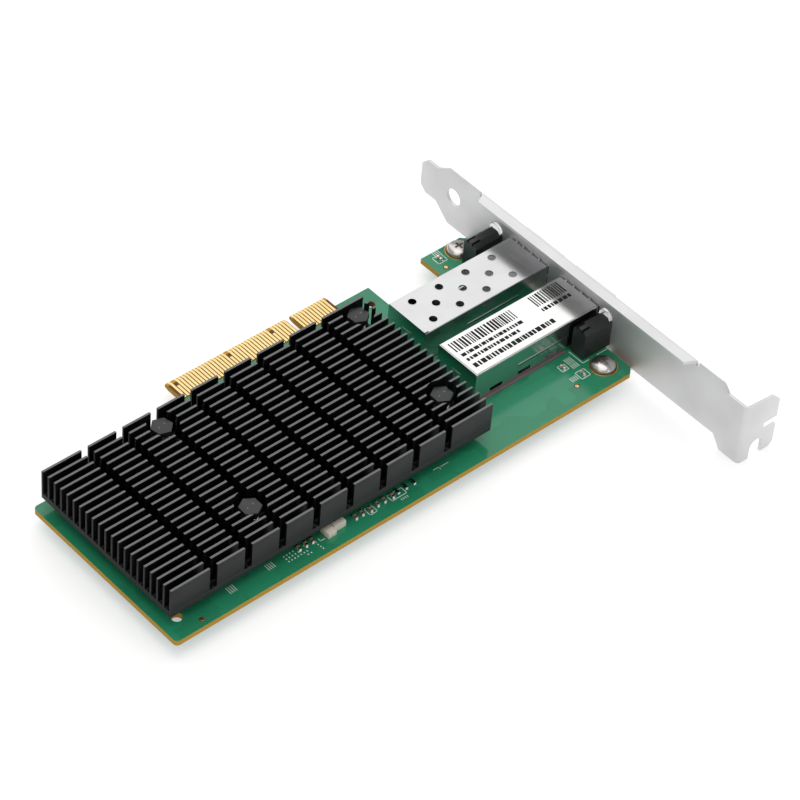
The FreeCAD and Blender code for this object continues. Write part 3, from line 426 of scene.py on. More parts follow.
# Screws are cold headed and nickel plated: bright with fine turning marks.
SCREW_STEEL = GrainedFinish("nickel_plated_screw", "#d2cdc9", 0.24, 1.0, grain=(0.4, 0.4, 0.1),
                            depth=0.006, patch_colour="#8e8a86", patch_share=0.25)
# The lands are immersion gold over copper: warm and a little rough.
LAND_COPPER = GrainedFinish("immersion_gold_on_copper", "#e2b46a", 0.3, 1.0, grain=(0.2, 0.2, 0.2),
                            depth=0.006, patch_colour="#a86a35", patch_share=0.35)
# Housings are moulded in black nylon: even and softly shiny.
HOUSING_NYLON = GrainedFinish("moulded_black_nylon", "#242527", 0.36, grain=(0.22, 0.22, 0.22),
                              depth=0.008, patch_colour="#2b2c2e", patch_share=0.3)
CLEAR_LENS = ClearPolycarbonate("moulded_polycarbonate", "#fbfbfb", 0.06)
# Label film is metallised polyester: silver-white and glossy, so it takes the room as the cage does.
LABEL_FILM = GrainedFinish("metallised_polyester_film", "#efefed", 0.2, 1.0, grain=(1.6, 1.6, 1.6),
                           depth=0.002, spread=0.04, patch_colour="#dcdcda", patch_share=0.3)
# Thermal-transfer ink is a thin resin: black and matt.
LABEL_INK = GrainedFinish("thermal_transfer_ink", "#060606", 0.85, grain=(0.2, 0.2, 0.2), depth=0.004,
                          patch_colour="#222222", patch_share=0.4)
# Marking ink is epoxy, screen printed: white, matt and a little uneven.
SILK_INK = GrainedFinish("white_epoxy_ink", "#e6efe9", 0.6, grain=(0.2, 0.2, 0.2),
                         patch_colour="#b9d3c6", patch_share=0.5)
# Where the mask is left open round a hole, bare laminate shows: brown and matt.
# The same brown also paints the shade ring round the screw heads.
BARE_LAMINATE_AND_SHADE = GrainedFinish("bare_glass_epoxy_and_shade", "#5a3c1c", 0.6,
                              patch_colour="#7a5428", patch_share=0.4)
# The strip along the cage's near foot is painted brown-grey and matt: painted shade and a painted
# reflection of the gap under the cage.
FOOT_SHADE_AND_REFLECTION = GrainedFinish("painted_foot_shade_and_reflection", "#6b5a5c", 0.55, grain=(1.2, 0.3, 0.3),
                            patch_colour="#86787a", patch_share=0.4)
# Bare solder and tin ends are dip coated: bright grey with a slightly frosted skin.
SOLDER_TIN = GrainedFinish("reflowed_tin", "#f2f2f0", 0.24, 1.0, grain=(0.15, 0.15, 0.15), depth=0.012)
# Ferrite and its coating are pressed powder: dark grey and matt.
FERRITE = GrainedFinish("pressed_ferrite", "#3b3b3d", 0.6, grain=(0.2, 0.2, 0.2), depth=0.02)
# Tantalum capacitors are moulded in pale yellow epoxy.
TANTALUM_CASE = GrainedFinish("moulded_yellow_epoxy", "#ece3d4", 0.16, grain=(0.2, 0.2, 0.2),
                              patch_colour="#b8a67c", patch_share=0.4)
# Multilayer capacitors are fired ceramic: tan and eggshell smooth.
FIRED_CERAMIC = GrainedFinish("fired_ceramic", "#a88a66", 0.42, grain=(0.12, 0.12, 0.12), depth=0.006,
                              patch_colour="#8c6f4e", patch_share=0.5)
# Chip resistors have a black glass film on white alumina.
RESISTOR_GLASS = GrainedFinish("printed_resistor_glass", "#202022", 0.25, grain=(0.15, 0.15, 0.15),
                               depth=0.005)
# The crystal's lid is seam-welded metal.
CRYSTAL_LID = GrainedFinish("stamped_kovar_lid", "#c3bfb4", 0.3, 1.0, grain=(0.8, 0.2, 0.2), depth=0.004)

CAD_FINISHES: dict[Finish, Sequence[str]] = {
    SOLDER_MASK: ("circuit_board",),
    HARD_GOLD: ("edge_contacts_component_side", "edge_contacts_solder_side", "port_contacts_1",
                "port_contacts_2"),
    ANODISED: ("heat_sink",),
    PIN_NYLON: ("heat_sink_pins",),
    SPRING_WIRE: ("pin_springs",),
    GAP_PAD: ("thermal_pad",),
    EPOXY_BLACK: ("network_controller", "flash_memory", "voltage_regulators"),
    CAGE_SHEET: ("cage_shell_1", "cage_shell_2", "cage_floor_1", "cage_floor_2"),
    COLLAR_SHEET: ("spring_collar_1", "spring_collar_2"),
    CONNECTOR_POLYMER_AND_SHADE: ("port_connector_1", "port_connector_2"),
    BRACKET_STEEL: ("bracket",),
    SCREW_STEEL: ("bracket_screws",),
    LAND_COPPER: ("screw_lands",),
    HOUSING_NYLON: ("light_housing_1", "light_housing_2"),
    CLEAR_LENS: ("light_lens_1", "light_lens_2"),
    LABEL_FILM: ("product_label",),
    FERRITE: ("power_inductors",),
    TANTALUM_CASE: ("tantalum_capacitors",),
    FIRED_CERAMIC: ("chip_capacitors", "solder_side_capacitors"),
    RESISTOR_GLASS: ("chip_resistors",),
    CRYSTAL_LID: ("crystal",),
}


def add_object(name: str, data: bpy.types.ID) -> Thing:
    """Put a new object into the scene.

    Args:
        name: The object's name.
        data: Its mesh, camera or light.

    Returns:
        The new object.
    """
    thing = bpy.data.objects.new(name, data)
    bpy.context.scene.collection.objects.link(thing)
    return thing


class MeshMaker:
    """Collects faces in millimetres and turns them into one piece of the card."""

    def __init__(self) -> None:
        """Start with no faces."""
        self.mesh = bmesh.new()

    def block(self, low: Point, high: Point, bevel: float = 0.0) -> None:
        """Add a block.

        Args:
            low: Its lowest corner.
            high: Its highest corner.
            bevel: How far its edges are cut back; none at zero.
        """
        outline = [(low[0], low[1]), (high[0], low[1]), (high[0], high[1]), (low[0], high[1])]
        self.prism(outline, low[2], high[2], bevel)

    def prism(self, outline: Sequence[Spot], low: float, high: float, bevel: float = 0.0) -> None:
        """Add an upright prism.

        Args:
            outline: Its corners seen from above, anticlockwise.
            low: Height of its foot.
            high: Height of its top.
            bevel: How far its edges are cut back; none at zero.
        """
        self.slab([(x, y, low) for x, y in outline], (0.0, 0.0, high - low), bevel)

    def slab(self, corners: Sequence[Point], rise: Point, bevel: float = 0.0) -> None:
        """Add a flat sheet with a thickness.

        Args:
            corners: Its corners on one face, in order.
            rise: The way from that face to the other.
            bevel: How far its edges are cut back; none at zero.
        """
        lower = [self.mesh.verts.new(Vector(corner) * MM) for corner in corners]
        upper = [self.mesh.verts.new((Vector(corner) + Vector(rise)) * MM) for corner in corners]
        faces = [self.mesh.faces.new(lower[::-1]), self.mesh.faces.new(upper)]
        for step in range(len(corners)):
            after = (step + 1) % len(corners)
            faces.append(self.mesh.faces.new((lower[step], lower[after], upper[after], upper[step])))
        if bevel:
            edges = list(dict.fromkeys(edge for face in faces for edge in face.edges))
            bmesh.ops.bevel(self.mesh, geom=edges, offset=bevel * MM, segments=2, profile=0.6,
                            affect="EDGES")

    def lathe(self, profile: Sequence[Spot], centre: Point, steps: int, hollow: bool = False) -> None:
        """Turn a profile round an upright axis.

        Args:
            profile: Radius and height of each point, from the foot up, ending on the axis or not.
            centre: The axis's foot.
            steps: How many flats go round.
            hollow: Whether the profile closes on itself and leaves the axis open.
        """
        rings = []
        for radius, height in profile:
            z = (centre[2] + height) * MM
            if radius == 0.0:
                rings.append([self.mesh.verts.new((centre[0] * MM, centre[1] * MM, z))])
                continue
            turns = [math.tau * step / steps for step in range(steps)]
            rings.append([self.mesh.verts.new(((centre[0] + radius * math.cos(turn)) * MM,
                                               (centre[1] + radius * math.sin(turn)) * MM, z))
                          for turn in turns])
        for lower, upper in zip(rings, rings[1:] + rings[:hollow]):
            for step in range(steps):
                after = (step + 1) % steps
                corners = [lower[step % len(lower)], lower[after % len(lower)],
                           upper[after % len(upper)], upper[step % len(upper)]]
                self.mesh.faces.new(list(dict.fromkeys(corners)))
        if hollow:
            return
        for ring, flip in ((rings[0], True), (rings[-1], False)):
            if len(ring) > 1:
                self.mesh.faces.new(ring[::-1] if flip else ring)

    def tube(self, path: Sequence[Point], radius: float, sides: int) -> None:
        """Run a round wire along a path.

        Args:
            path: Points of the wire's middle line.
            radius: The wire's radius.
            sides: How many flats go round it.
        """
        rings = []
        for step, point in enumerate(path):
            before = Vector(path[max(step - 1, 0)])
            ahead = (Vector(path[min(step + 1, len(path) - 1)]) - before).normalized()
            across = ahead.cross(Vector((0, 0, 1))).normalized()
            up = across.cross(ahead)
            ring = []
            for side in range(sides):
                turn = math.tau * side / sides
                spot = Vector(point) + (across * math.cos(turn) + up * math.sin(turn)) * radius
                ring.append(self.mesh.verts.new(spot * MM))
            rings.append(ring)
        for lower, upper in zip(rings, rings[1:]):
            for side in range(sides):
                after = (side + 1) % sides
                self.mesh.faces.new((lower[side], lower[after], upper[after], upper[side]))
        self.mesh.faces.new(rings[0][::-1])
        self.mesh.faces.new(rings[-1])

    def make(self, name: str) -> Thing:
        """Turn what was collected into an object.

        Args:
            name: The object's name.

        Returns:
            The object, which as it is can serve as a cutter.
        """
        bmesh.ops.recalc_face_normals(self.mesh, faces=self.mesh.faces[:])
        data = bpy.data.meshes.new(name)
        self.mesh.to_mesh(data)
        self.mesh.free()
        return add_object(name, data)

    def finish(self, name: str, finish: Finish, slot: Slot, replaces: Iterable[str] = ()) -> Thing:
        """Turn what was collected into a piece that rides on the card.

        Args:
            name: The piece's name.
            finish: Its material.
            slot: The record's slot that its finish belongs to; not used.
            replaces: CAD nodes that it stands for.

        Returns:
            The new object.
        """
        thing = self.make(name)
        thing.data.shade_smooth()
        thing.data.set_sharp_from_angle(angle=SHARP_ANGLE)
        thing.data.materials.append(finish.material())
        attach(thing, BODY)
        for node in replaces:
            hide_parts(node)
        LOG.info("%s is built with %d faces", name, len(thing.data.polygons))
        return thing


def carve(thing: Thing, cutter: Thing) -> None:
    """Cut one object's shape out of another and throw the cutter away.

    Args:
        thing: The object that keeps the rest.
        cutter: The object that is taken away.
    """
    step = thing.modifiers.new("cut", "BOOLEAN")
    step.operation = "DIFFERENCE"
    step.solver = "EXACT"
    step.use_self = True
    step.object = cutter
    bpy.context.view_layer.update()
    shaped = bpy.data.meshes.new_from_object(thing.evaluated_get(bpy.context.evaluated_depsgraph_get()))
    thing.modifiers.clear()
    shaped.materials.clear()
    shaped.materials.append(thing.data.materials[0])
    thing.data = shaped
    bpy.data.objects.remove(cutter)


def box_mm(node: str) -> Corners:
    """Give a CAD node's lowest and highest corners in millimetres."""
    low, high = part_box(node)
    return tuple(low / MM), tuple(high / MM)


def moved(corners: Corners, by: Point) -> Corners:
    """Give a block's two corners after a move."""
    low, high = (tuple(value + way for value, way in zip(corner, by)) for corner in corners)
    return low, high


@dataclass
class CircuitBoard:
    """What lies on the board: marking ink, plated vias, bare rings and the contacts' lead-ins."""

    ink_width: float = 0.2
    ink_height: float = 0.02
    frames: Sequence[Quad] = (
        (44.5, -63.0, 47.45, -60.3), (44.5, -8.75, 47.5, -6.0), (42.4, -58.1, 44.5, -55.9),
        (-28.9, -65.8, -26.6, -63.4), (-21.6, -65.5, -16.9, -63.4),
    )
    strokes: Sequence[Quad] = (
        (48.7, -58.8, 48.7, -53.7), (48.7, -58.8, 50.7, -58.8), (53.7, -58.75, 57.3, -58.75),
        (-43.9, -64.9, -43.9, -64.0), (-43.9, -64.9, -42.6, -64.9), (-6.7, -63.8, -5.0, -63.8),
        (-5.0, -64.6, -5.0, -63.8), (-4.4, -64.0, -2.1, -64.0),
    )
    dash_pitch: float = 0.62
    dash_groups: Sequence[tuple[float, float, int, float]] = (
        (45.5, -56.0, 4, 1.05), (45.5, -58.15, 4, 0.8), (42.0, -61.6, 4, 0.85), (45.8, -5.2, 4, 0.85),
        (-59.6, -63.7, 4, 1.0), (-71.5, -63.8, 4, 1.1), (-19.4, -66.5, 4, 0.3),
    )
    dot_pitch: float = 0.95
    dot_half: Spot = (0.15, 0.2)
    dot_rows: Sequence[tuple[float, float, int]] = (
        (-54.2, -63.4, 4), (-54.2, -64.4, 6), (-54.2, -65.4, 7), (-50.0, -63.6, 3), (-49.0, -66.4, 2),
        (-45.1, -64.5, 1), (-45.1, -65.4, 1), (-45.0, -66.3, 1), (-44.9, -67.1, 1),
    )
    vias: Sequence[Spot] = ((45.2, -10.7), (41.8, -64.0), (-82.0, -66.9))
    via_plating: Sequence[Spot] = ((0.55, 0.0), (0.55, 0.04), (0.5, 0.05), (0.3, 0.05), (0.0, 0.02))
    via_clearing: Sequence[Spot] = ((0.85, 0.0), (0.85, 0.015), (0.0, 0.015))
    mount_hole: Point = (20.1, -9.5, 0.0)
    hole_wall: Sequence[Spot] = ((1.4, 0.0), (1.4, 0.03), (1.06, 0.03), (1.02, -1.6), (1.08, -1.6))
    contact_width: float = 0.7
    contact_rows: Sequence[tuple[float, int, int]] = ((1.5, 11, 1), (-1.5, 38, -1))
    short_contacts: tuple[int, ...] = (16, 30, 47)
    lead_sheets: Sequence[tuple[Spot, Spot, float]] = (
        ((-1.45, 0.0), (-1.3, 0.0), 0.05), ((-1.32, -0.01), (-0.05, -0.35), 0.06),
    )

    def print_marks(self) -> None:
        """Lay the white marking ink on the component face."""
        ink = MeshMaker()
        half = self.ink_width / 2
        sides = [side for x0, y0, x1, y1 in self.frames
                 for side in ((x0, y0, x1, y0), (x0, y1, x1, y1), (x0, y0, x0, y1), (x1, y0, x1, y1))]
        for x0, y0, x1, y1 in (*self.strokes, *sides):
            low = (min(x0, x1) - half, min(y0, y1) - half, 0.0)
            ink.block(low, (max(x0, x1) + half, max(y0, y1) + half, self.ink_height))
        marks = [(x + step * self.dash_pitch, y, half, reach)
                 for x, y, count, reach in self.dash_groups for step in range(count)]
        marks += [(x + step * self.dot_pitch, y, *self.dot_half)
                  for x, y, count in self.dot_rows for step in range(count)]
        for x, y, wide, tall in marks:
            ink.block((x - wide, y - tall, 0.0), (x + wide, y + tall, self.ink_height))
        ink.finish("board_marking_ink", SILK_INK, Slot.LAMINATE)

    def plate_holes(self) -> None:
        """Set a plated ring in each via, and bare laminate round it and round the mount hole."""
        rings, bare = MeshMaker(), MeshMaker()
        for x, y in self.vias:
            rings.lathe(self.via_plating, (x, y, 0.0), 20)
            bare.lathe(self.via_clearing, (x, y, 0.0), 20)
        bare.lathe(self.hole_wall, self.mount_hole, 40, hollow=True)
        rings.finish("plated_vias", HARD_GOLD, Slot.COPPER)
        bare.finish("bare_rings", BARE_LAMINATE_AND_SHADE, Slot.LAMINATE)

    def lead_contacts_in(self) -> None:
        """Carry each full-length contact's gold down the tab's bevel."""
        gold = MeshMaker()
        half = self.contact_width / 2
        places = [first + way * step for first, count, way in self.contact_rows for step in range(count)]
        for number, x in enumerate(places):
            if number in self.short_contacts:
                continue
            for start, end, thickness in self.lead_sheets:
                corners = [(x - half, *start), (x + half, *start), (x + half, *end), (x - half, *end)]
                gold.slab(corners, (0.0, 0.0, thickness))
        gold.finish("contact_lead_ins", HARD_GOLD, Slot.GOLD)

    def build(self) -> None:
        """Make all that lies on the board."""
        self.print_marks()
        self.plate_holes()
        self.lead_contacts_in()


@dataclass
class HeatSink:
    """The cross-cut fins on their base, each with softened edges, and a round well about each pin."""

    fin_count: int = 21
    fin_thickness: float = 0.65
    fin_root: float = 0.05
    shortest_fin: float = 0.2
    base: float = 1.7
    lift: float = 3.5
    slot_first: float = -76.8
    slot_pitch: float = 10.51
    slot_count: int = 8
    slot_width: float = 2.2
    well_radius: float = 4.1
    wells: Sequence[Spot] = ((-56.7, -20.4), (-56.85, -53.55), (4.15, -53.45), (6.3, -19.65))
    hole_radius: float = 1.5
    hole_overrun: Spot = (1.0, 0.3)
    edge: float = 0.07
    pedestal: Corners = ((-41.0, -52.0, 2.5), (-11.0, -22.0, 3.55))

    def lengths(self, start: float, end: float, near: float, far: float, whole: bool) -> list[Quad]:
        """Cut one fin's length by the saw cuts and the wells.

        Args:
            start: Where the fin starts.
            end: Where it ends.
            near: The fin's nearer face.
            far: The fin's farther face.
            whole: Whether the wells leave this fin alone.

        Returns:
            For each length left: its start and end on the nearer face, then on the farther one.
        """
        half = self.slot_width / 2
        cuts = [self.slot_first + self.slot_pitch * step for step in range(self.slot_count)]
        starts = [start] + [cut + half for cut in cuts]
        ends = [cut - half for cut in cuts] + [end]
        left = [(low, high, low, high) for low, high in zip(starts, ends)]
        for x, y in () if whole else self.wells:
            reach = [math.sqrt(max(self.well_radius ** 2 - (face - y) ** 2, 0.0))
                     for face in (near, far)]
            if max(reach) == 0.0:
                continue
            kept = []
            for near_low, near_high, far_low, far_high in left:
                before = (near_low, min(near_high, x - reach[0]), far_low, min(far_high, x - reach[1]))
                behind = (max(near_low, x + reach[0]), near_high, max(far_low, x + reach[1]), far_high)
                kept += [part for part in (before, behind)
                         if min(part[1] - part[0], part[3] - part[2]) > self.shortest_fin]
            left = kept
        return left

    def build(self) -> None:
        """Make the heat sink that stands for the CAD's sharp-edged one."""
        low, high = box_mm("heat_sink")
        floor = self.lift + self.base
        sink, holes = MeshMaker(), MeshMaker()
        sink.block((low[0], low[1], self.lift), (high[0], high[1], floor), self.edge)
        sink.block(*self.pedestal)
        pitch = (high[1] - low[1] - self.fin_thickness) / (self.fin_count - 1)
        for number in range(self.fin_count):
            near = low[1] + pitch * number
            far = near + self.fin_thickness
            whole = number in (0, self.fin_count - 1)
            for part in self.lengths(low[0], high[0], near, far, whole):
                outline = [(part[0], near), (part[1], near), (part[3], far), (part[2], far)]
                sink.prism(outline, floor - self.fin_root, high[2], self.edge)
        below, above = self.hole_overrun
        wall = [(self.hole_radius, self.lift - below), (self.hole_radius, floor + above)]
        for x, y, _ in PushPins().places:
            holes.lathe(wall, (x, y, 0.0), 24)
        block = sink.finish("finned_block", ANODISED, Slot.SINK, ["heat_sink"])
        carve(block, holes.make("cutter"))


@dataclass
class PushPins:
    """The heat sink's hexagon-headed pins and their coil springs."""

    flats: float = 5.15
    head_height: float = 1.7
    head_gap: float = 0.04
    head_bevel: float = 0.16
    stem: float = 1.25
    stem_overlap: float = 0.2
    tip: float = 0.7
    barb: float = 1.75
    barb_rise: Spot = (1.9, 2.6)
    coil: float = 1.95
    wire: float = 0.24
    turns: int = 5
    turn_steps: int = 20
    mark: Sequence[Spot] = ((0.2, -0.05), (0.17, 0.0), (0.0, 0.0))
    mark_reach: Spot = (1.0, 0.2)
    places: Sequence[Point] = (
        (-56.7, -19.9, 42.5), (-56.9, -53.7, 28.0), (4.5, -53.2, 29.0), (6.8, -19.15, 36.0),
    )

    def build(self) -> None:
        """Make the pins and springs that stand for the CAD's plainer ones."""
        low, high = box_mm("heat_sink_pins")
        coil_low, coil_high = box_mm("pin_springs")
        pins, coils, marks = MeshMaker(), MeshMaker(), MeshMaker()
        corner = self.flats / math.sqrt(3)
        foot = high[2] - self.head_height
        barb_low, barb_high = (low[2] + rise for rise in self.barb_rise)
        shaft = [(self.tip, low[2]), (self.barb, barb_low), (self.barb, barb_high),
                 (self.stem, barb_high), (self.stem, foot + self.stem_overlap)]
        steps = self.turns * self.turn_steps
        rise = coil_high[2] - coil_low[2] - self.wire * 2
        spiral = [(math.tau * step / self.turn_steps, coil_low[2] + self.wire + rise * step / steps)
                  for step in range(steps + 1)]
        for x, y, turned in self.places:
            angles = [math.radians(turned + 60 * side) for side in range(6)]
            hexagon = [(x + corner * math.cos(angle), y + corner * math.sin(angle)) for angle in angles]
            pins.prism(hexagon, foot, high[2] - self.head_gap, self.head_bevel)
            pins.lathe(shaft, (x, y, 0.0), 24)
            for side in (-1, 1):
                spot = (x + side * self.mark_reach[0], y + side * self.mark_reach[1], high[2])
                marks.lathe(self.mark, spot, 12)
            coils.tube([(x + self.coil * math.cos(turn), y + self.coil * math.sin(turn), z)
                        for turn, z in spiral], self.wire, 8)
        pins.finish("push_pins", PIN_NYLON, Slot.PIN, ["heat_sink_pins"])
        marks.finish("pin_gate_marks", GATE_MARK, Slot.PIN)
        coils.finish("coil_springs", SPRING_WIRE, Slot.SPRING, ["pin_springs"])


@dataclass
class PanHeadScrews:
    """The two screws that hold the bracket's lugs to the board."""

    head: float = 3.2
    height: float = 1.9
    rim: float = 0.55
    dome_steps: int = 7
    shank: float = 1.25
    seat: float = 0.05
    recess_long: float = 2.7
    recess_wide: float = 0.62
    recess_depth: float = 1.0
    recess_overrun: float = 0.3
    # Painted shade: a dark ring round each screw head where it sits on the land.
    shade_ring: Sequence[Spot] = ((0.28, 0.0), (0.28, 0.07), (-0.4, 0.07), (-0.4, 0.0))
    centres: Sequence[Spot] = ((52.1, -7.9), (52.1, -62.8))

    def build(self) -> None:
        """Turn the domed heads, sink a cross recess in each and paint a ring of shade round it."""
        low, _ = box_mm("bracket_screws")
        blanks, recess, shade = MeshMaker(), MeshMaker(), MeshMaker()
        peak = self.seat + self.height
        top, floor = peak + self.recess_overrun, peak - self.recess_depth
        turns = [math.pi / 2 * step / self.dome_steps for step in range(self.dome_steps)]
        dome = [(self.head * math.cos(turn),
                 self.seat + self.rim + (self.height - self.rim) * math.sin(turn)) for turn in turns]
        stem = [(self.shank, low[2]), (self.shank, self.seat), (self.head, self.seat)]
        profile = [*stem, *dome, (0.0, peak)]
        ring = [(self.head + outward, height) for outward, height in self.shade_ring]
        long, wide = self.recess_long / 2, self.recess_wide / 2
        for x, y in self.centres:
            blanks.lathe(profile, (x, y, 0.0), 40)
            for along, across in ((long, wide), (wide, long)):
                recess.block((x - along, y - across, floor), (x + along, y + across, top))
            shade.lathe(ring, (x, y, 0.0), 40, hollow=True)
        shade.finish("screw_head_painted_shade", BARE_LAMINATE_AND_SHADE, Slot.COPPER)
        screws = blanks.finish("pan_head_screws", SCREW_STEEL, Slot.SCREW, ["bracket_screws"])
        carve(screws, recess.make("cutter"))


@dataclass
class ProductLabel:
    """The film label on the second cage, with bar fields and rows of plain blocks."""

    print_height: float = 0.015
    seed: int = 11
    bar_fields: Sequence[Quad] = ((18.3, 40.1, -43.6, -40.0), (45.9, 56.3, -43.8, -39.6))
    bars: Sequence[float] = (0.32, 0.42, 0.68)
    bar_gaps: Sequence[float] = (0.28, 0.36, 0.5)
    bar_margin: float = 0.5
    rows: Sequence[Quad] = (
        (18.5, 38.6, -45.2, 1.1), (18.5, 36.4, -47.2, 1.1), (18.5, 46.5, -49.8, 1.6),
        (45.9, 56.0, -45.3, 1.2),
    )
    blocks: Spot = (0.45, 1.5)
    block_gaps: Spot = (0.2, 0.4)
    block_margin: float = 0.9

    def build(self) -> None:
        """Print the label."""
        draw = random.Random(self.seed)
        foot = box_mm("product_label")[1][2]
        top = foot + self.print_height
        ink = MeshMaker()
        for start, end, near, far in self.bar_fields:
            x = start
            while x < end - self.bar_margin:
                bar = draw.choice(self.bars)
                ink.block((x, near, foot), (x + bar, far, top))
                x += bar + draw.choice(self.bar_gaps)
        for start, end, middle, tall in self.rows:
            x = start
            while x < end - self.block_margin:
                long = draw.uniform(*self.blocks)
                ink.block((x, middle - tall / 2, foot), (x + long, middle + tall / 2, top))
                x += long + draw.uniform(*self.block_gaps)
        ink.finish("label_print", LABEL_INK, Slot.LABEL)


@dataclass
class CageDetails:
    """What the press left: vent rims, a dimple, wall lips and the collars' spots, with painted shade
    over the wall slots, at a rear corner and along the foot.

    A pair of corners is counted from the cage's rear, middle, near wall or top, as build says.
    """

    middles: Spot = (-26.75, -45.65)
    top: float = 9.8
    rear: float = 16.7
    half_width: float = 7.05
    edge: float = 0.03
    vent_rows: Sequence[tuple[float, float, int]] = ((4.0, 21.85, 4), (0.0, 26.4, 3), (-4.0, 21.85, 4))
    vent_pitch: float = 9.1
    vent_rim: Sequence[Spot] = ((1.08, -0.25), (1.34, -0.25), (1.3, 0.03), (1.12, 0.03))
    dimple: Spot = (53.67, -26.05)
    dimple_rim: Sequence[Spot] = ((0.45, 0.0), (0.75, 0.0), (0.7, 0.05), (0.5, 0.05))
    rear_rib: Corners = ((-0.08, -1.6, 5.75), (0.05, 1.6, 6.0))
    wall_lip: Corners = ((31.3, -0.12, 4.85), (49.0, 0.02, 5.05))
    wall_slot_shade: Corners = ((31.3, -0.02, 4.4), (49.0, 0.02, 4.85))
    corner_shade: Corners = ((0.0, 0.0, -0.01), (1.1, 0.5, 0.015))
    foot: Corners = ((19.0, -0.75, 0.0), (48.0, 0.02, 0.25))
    foot_bevel: float = 0.04
    finger_line: float = 58.3
    finger_spots: Sequence[float] = (-22.45, -24.84, -27.91, -30.84, -41.0, -43.8, -46.7, -49.7)
    finger_bulge: Sequence[Spot] = ((0.3, 0.0), (0.28, 0.45), (0.16, 0.58), (0.0, 0.62))

    def build(self) -> None:
        """Make the pressed details, then the painted shade over the wall slots, coloured as the black
        connector behind them, and at the rear corner.
        """
        sheet, shade_strips, foot = MeshMaker(), MeshMaker(), MeshMaker()
        walls = [middle - self.half_width for middle in self.middles]
        for middle, wall in zip(self.middles, walls):
            for shift, first, count in self.vent_rows:
                for step in range(count):
                    spot = (first + self.vent_pitch * step, middle + shift, self.top)
                    sheet.lathe(self.vent_rim, spot, 24, hollow=True)
            sheet.block(*moved(self.rear_rib, (self.rear, middle, 0.0)), self.edge)
            sheet.block(*moved(self.wall_lip, (0.0, wall, 0.0)), self.edge)
            # Painted shade: a dark strip over each wall slot, coloured as the connector behind it.
            shade_strips.block(*moved(self.wall_slot_shade, (0.0, wall, 0.0)))
        sheet.lathe(self.dimple_rim, (*self.dimple, self.top), 24, hollow=True)
        for y in self.finger_spots:
            sheet.lathe(self.finger_bulge, (self.finger_line, y, self.top), 16)
        # Painted shade: a dark patch at the first cage's rear near corner.
        shade_strips.block(*moved(self.corner_shade, (self.rear, walls[0], self.top)))
        # Painted shade and reflection: a brown-grey strip along the second cage's near foot.
        foot.block(*moved(self.foot, (0.0, walls[1], 0.0)), self.foot_bevel)
        sheet.finish("cage_pressings", CAGE_SHEET, Slot.CAGE)
        shade_strips.finish("cage_painted_shade_strips", CONNECTOR_POLYMER_AND_SHADE, Slot.CAGE)
        foot.finish("cage_foot_shade_strip", FOOT_SHADE_AND_REFLECTION, Slot.CAGE)


@dataclass
class SolderedParts:
    """Chip capacitors and resistors with their tin ends, and one moulded inductor."""

    body: Spot = (0.38, 0.5)
    body_gaps: Spot = (0.05, 0.03)
    body_bevel: float = 0.04
    end_half: float = 0.4
    end_length: float = 0.48
    end_reach: float = 0.8
    end_gap: float = 0.03
    end_bevel: float = 0.06
    solder_half: float = 0.45
    solder_reach: float = 1.15
    solder_height: float = 0.06
    capacitor_height: float = 0.8
    capacitors: Sequence[Spot] = (
        (-49.7, -63.5), (-47.6, -63.5), (-45.6, -63.5), (-32.3, -64.0), (-30.2, -64.0), (-27.8, -64.4),
        (-25.3, -64.0), (-23.1, -64.0), (45.9, -7.3), (46.0, -61.6), (43.4, -57.0), (-20.6, -64.2),
    )
    resistor_height: float = 0.45
    resistors: Sequence[Spot] = ((-18.6, -63.8), (-16.0, -63.8), (-13.4, -63.8))
    inductor: Corners = ((-42.1, -65.7, 0.0), (-39.5, -62.4, 1.8))
    inductor_bevel: float = 0.12

    def chips(self, name: str, spots: Sequence[Spot], height: float, finish: Finish, slot: Slot,
              node: str) -> None:
        """Make one kind of chip part: bodies, tin ends and the solder under them.

        Args:
            name: The pieces' first name.
            spots: Middle of each part.
            height: How tall the parts are.
            finish: The bodies' material.
            slot: The record's slot of the bodies.
            node: The CAD node that they stand for.
        """
        bodies, ends = MeshMaker(), MeshMaker()
        (wide, long), (below, above) = self.body, self.body_gaps
        for x, y in spots:
            bodies.block((x - wide, y - long, below), (x + wide, y + long, height - above),
                         self.body_bevel)
            for side in (-1, 1):
                inner = y + side * (self.end_reach - self.end_length)
                for half, reach, foot, top, bevel in (
                        (self.end_half, self.end_reach, self.end_gap, height, self.end_bevel),
                        (self.solder_half, self.solder_reach, 0.0, self.solder_height, 0.0)):
                    near, far = sorted((inner, y + side * reach))
                    ends.block((x - half, near, foot), (x + half, far, top), bevel)
        bodies.finish(f"{name}_bodies", finish, slot, [node])
        ends.finish(f"{name}_ends", SOLDER_TIN, slot)

    def build(self) -> None:
        """Make the parts beside the heat sink."""
        self.chips("capacitor", self.capacitors, self.capacitor_height, FIRED_CERAMIC, Slot.CERAMIC,
                   "chip_capacitors")
        self.chips("resistor", self.resistors, self.resistor_height, RESISTOR_GLASS, Slot.RESISTOR,
                   "chip_resistors")
        inductor = MeshMaker()
        inductor.block(*self.inductor, self.inductor_bevel)
        inductor.finish("moulded_inductor", TANTALUM_CASE, Slot.TANTALUM)


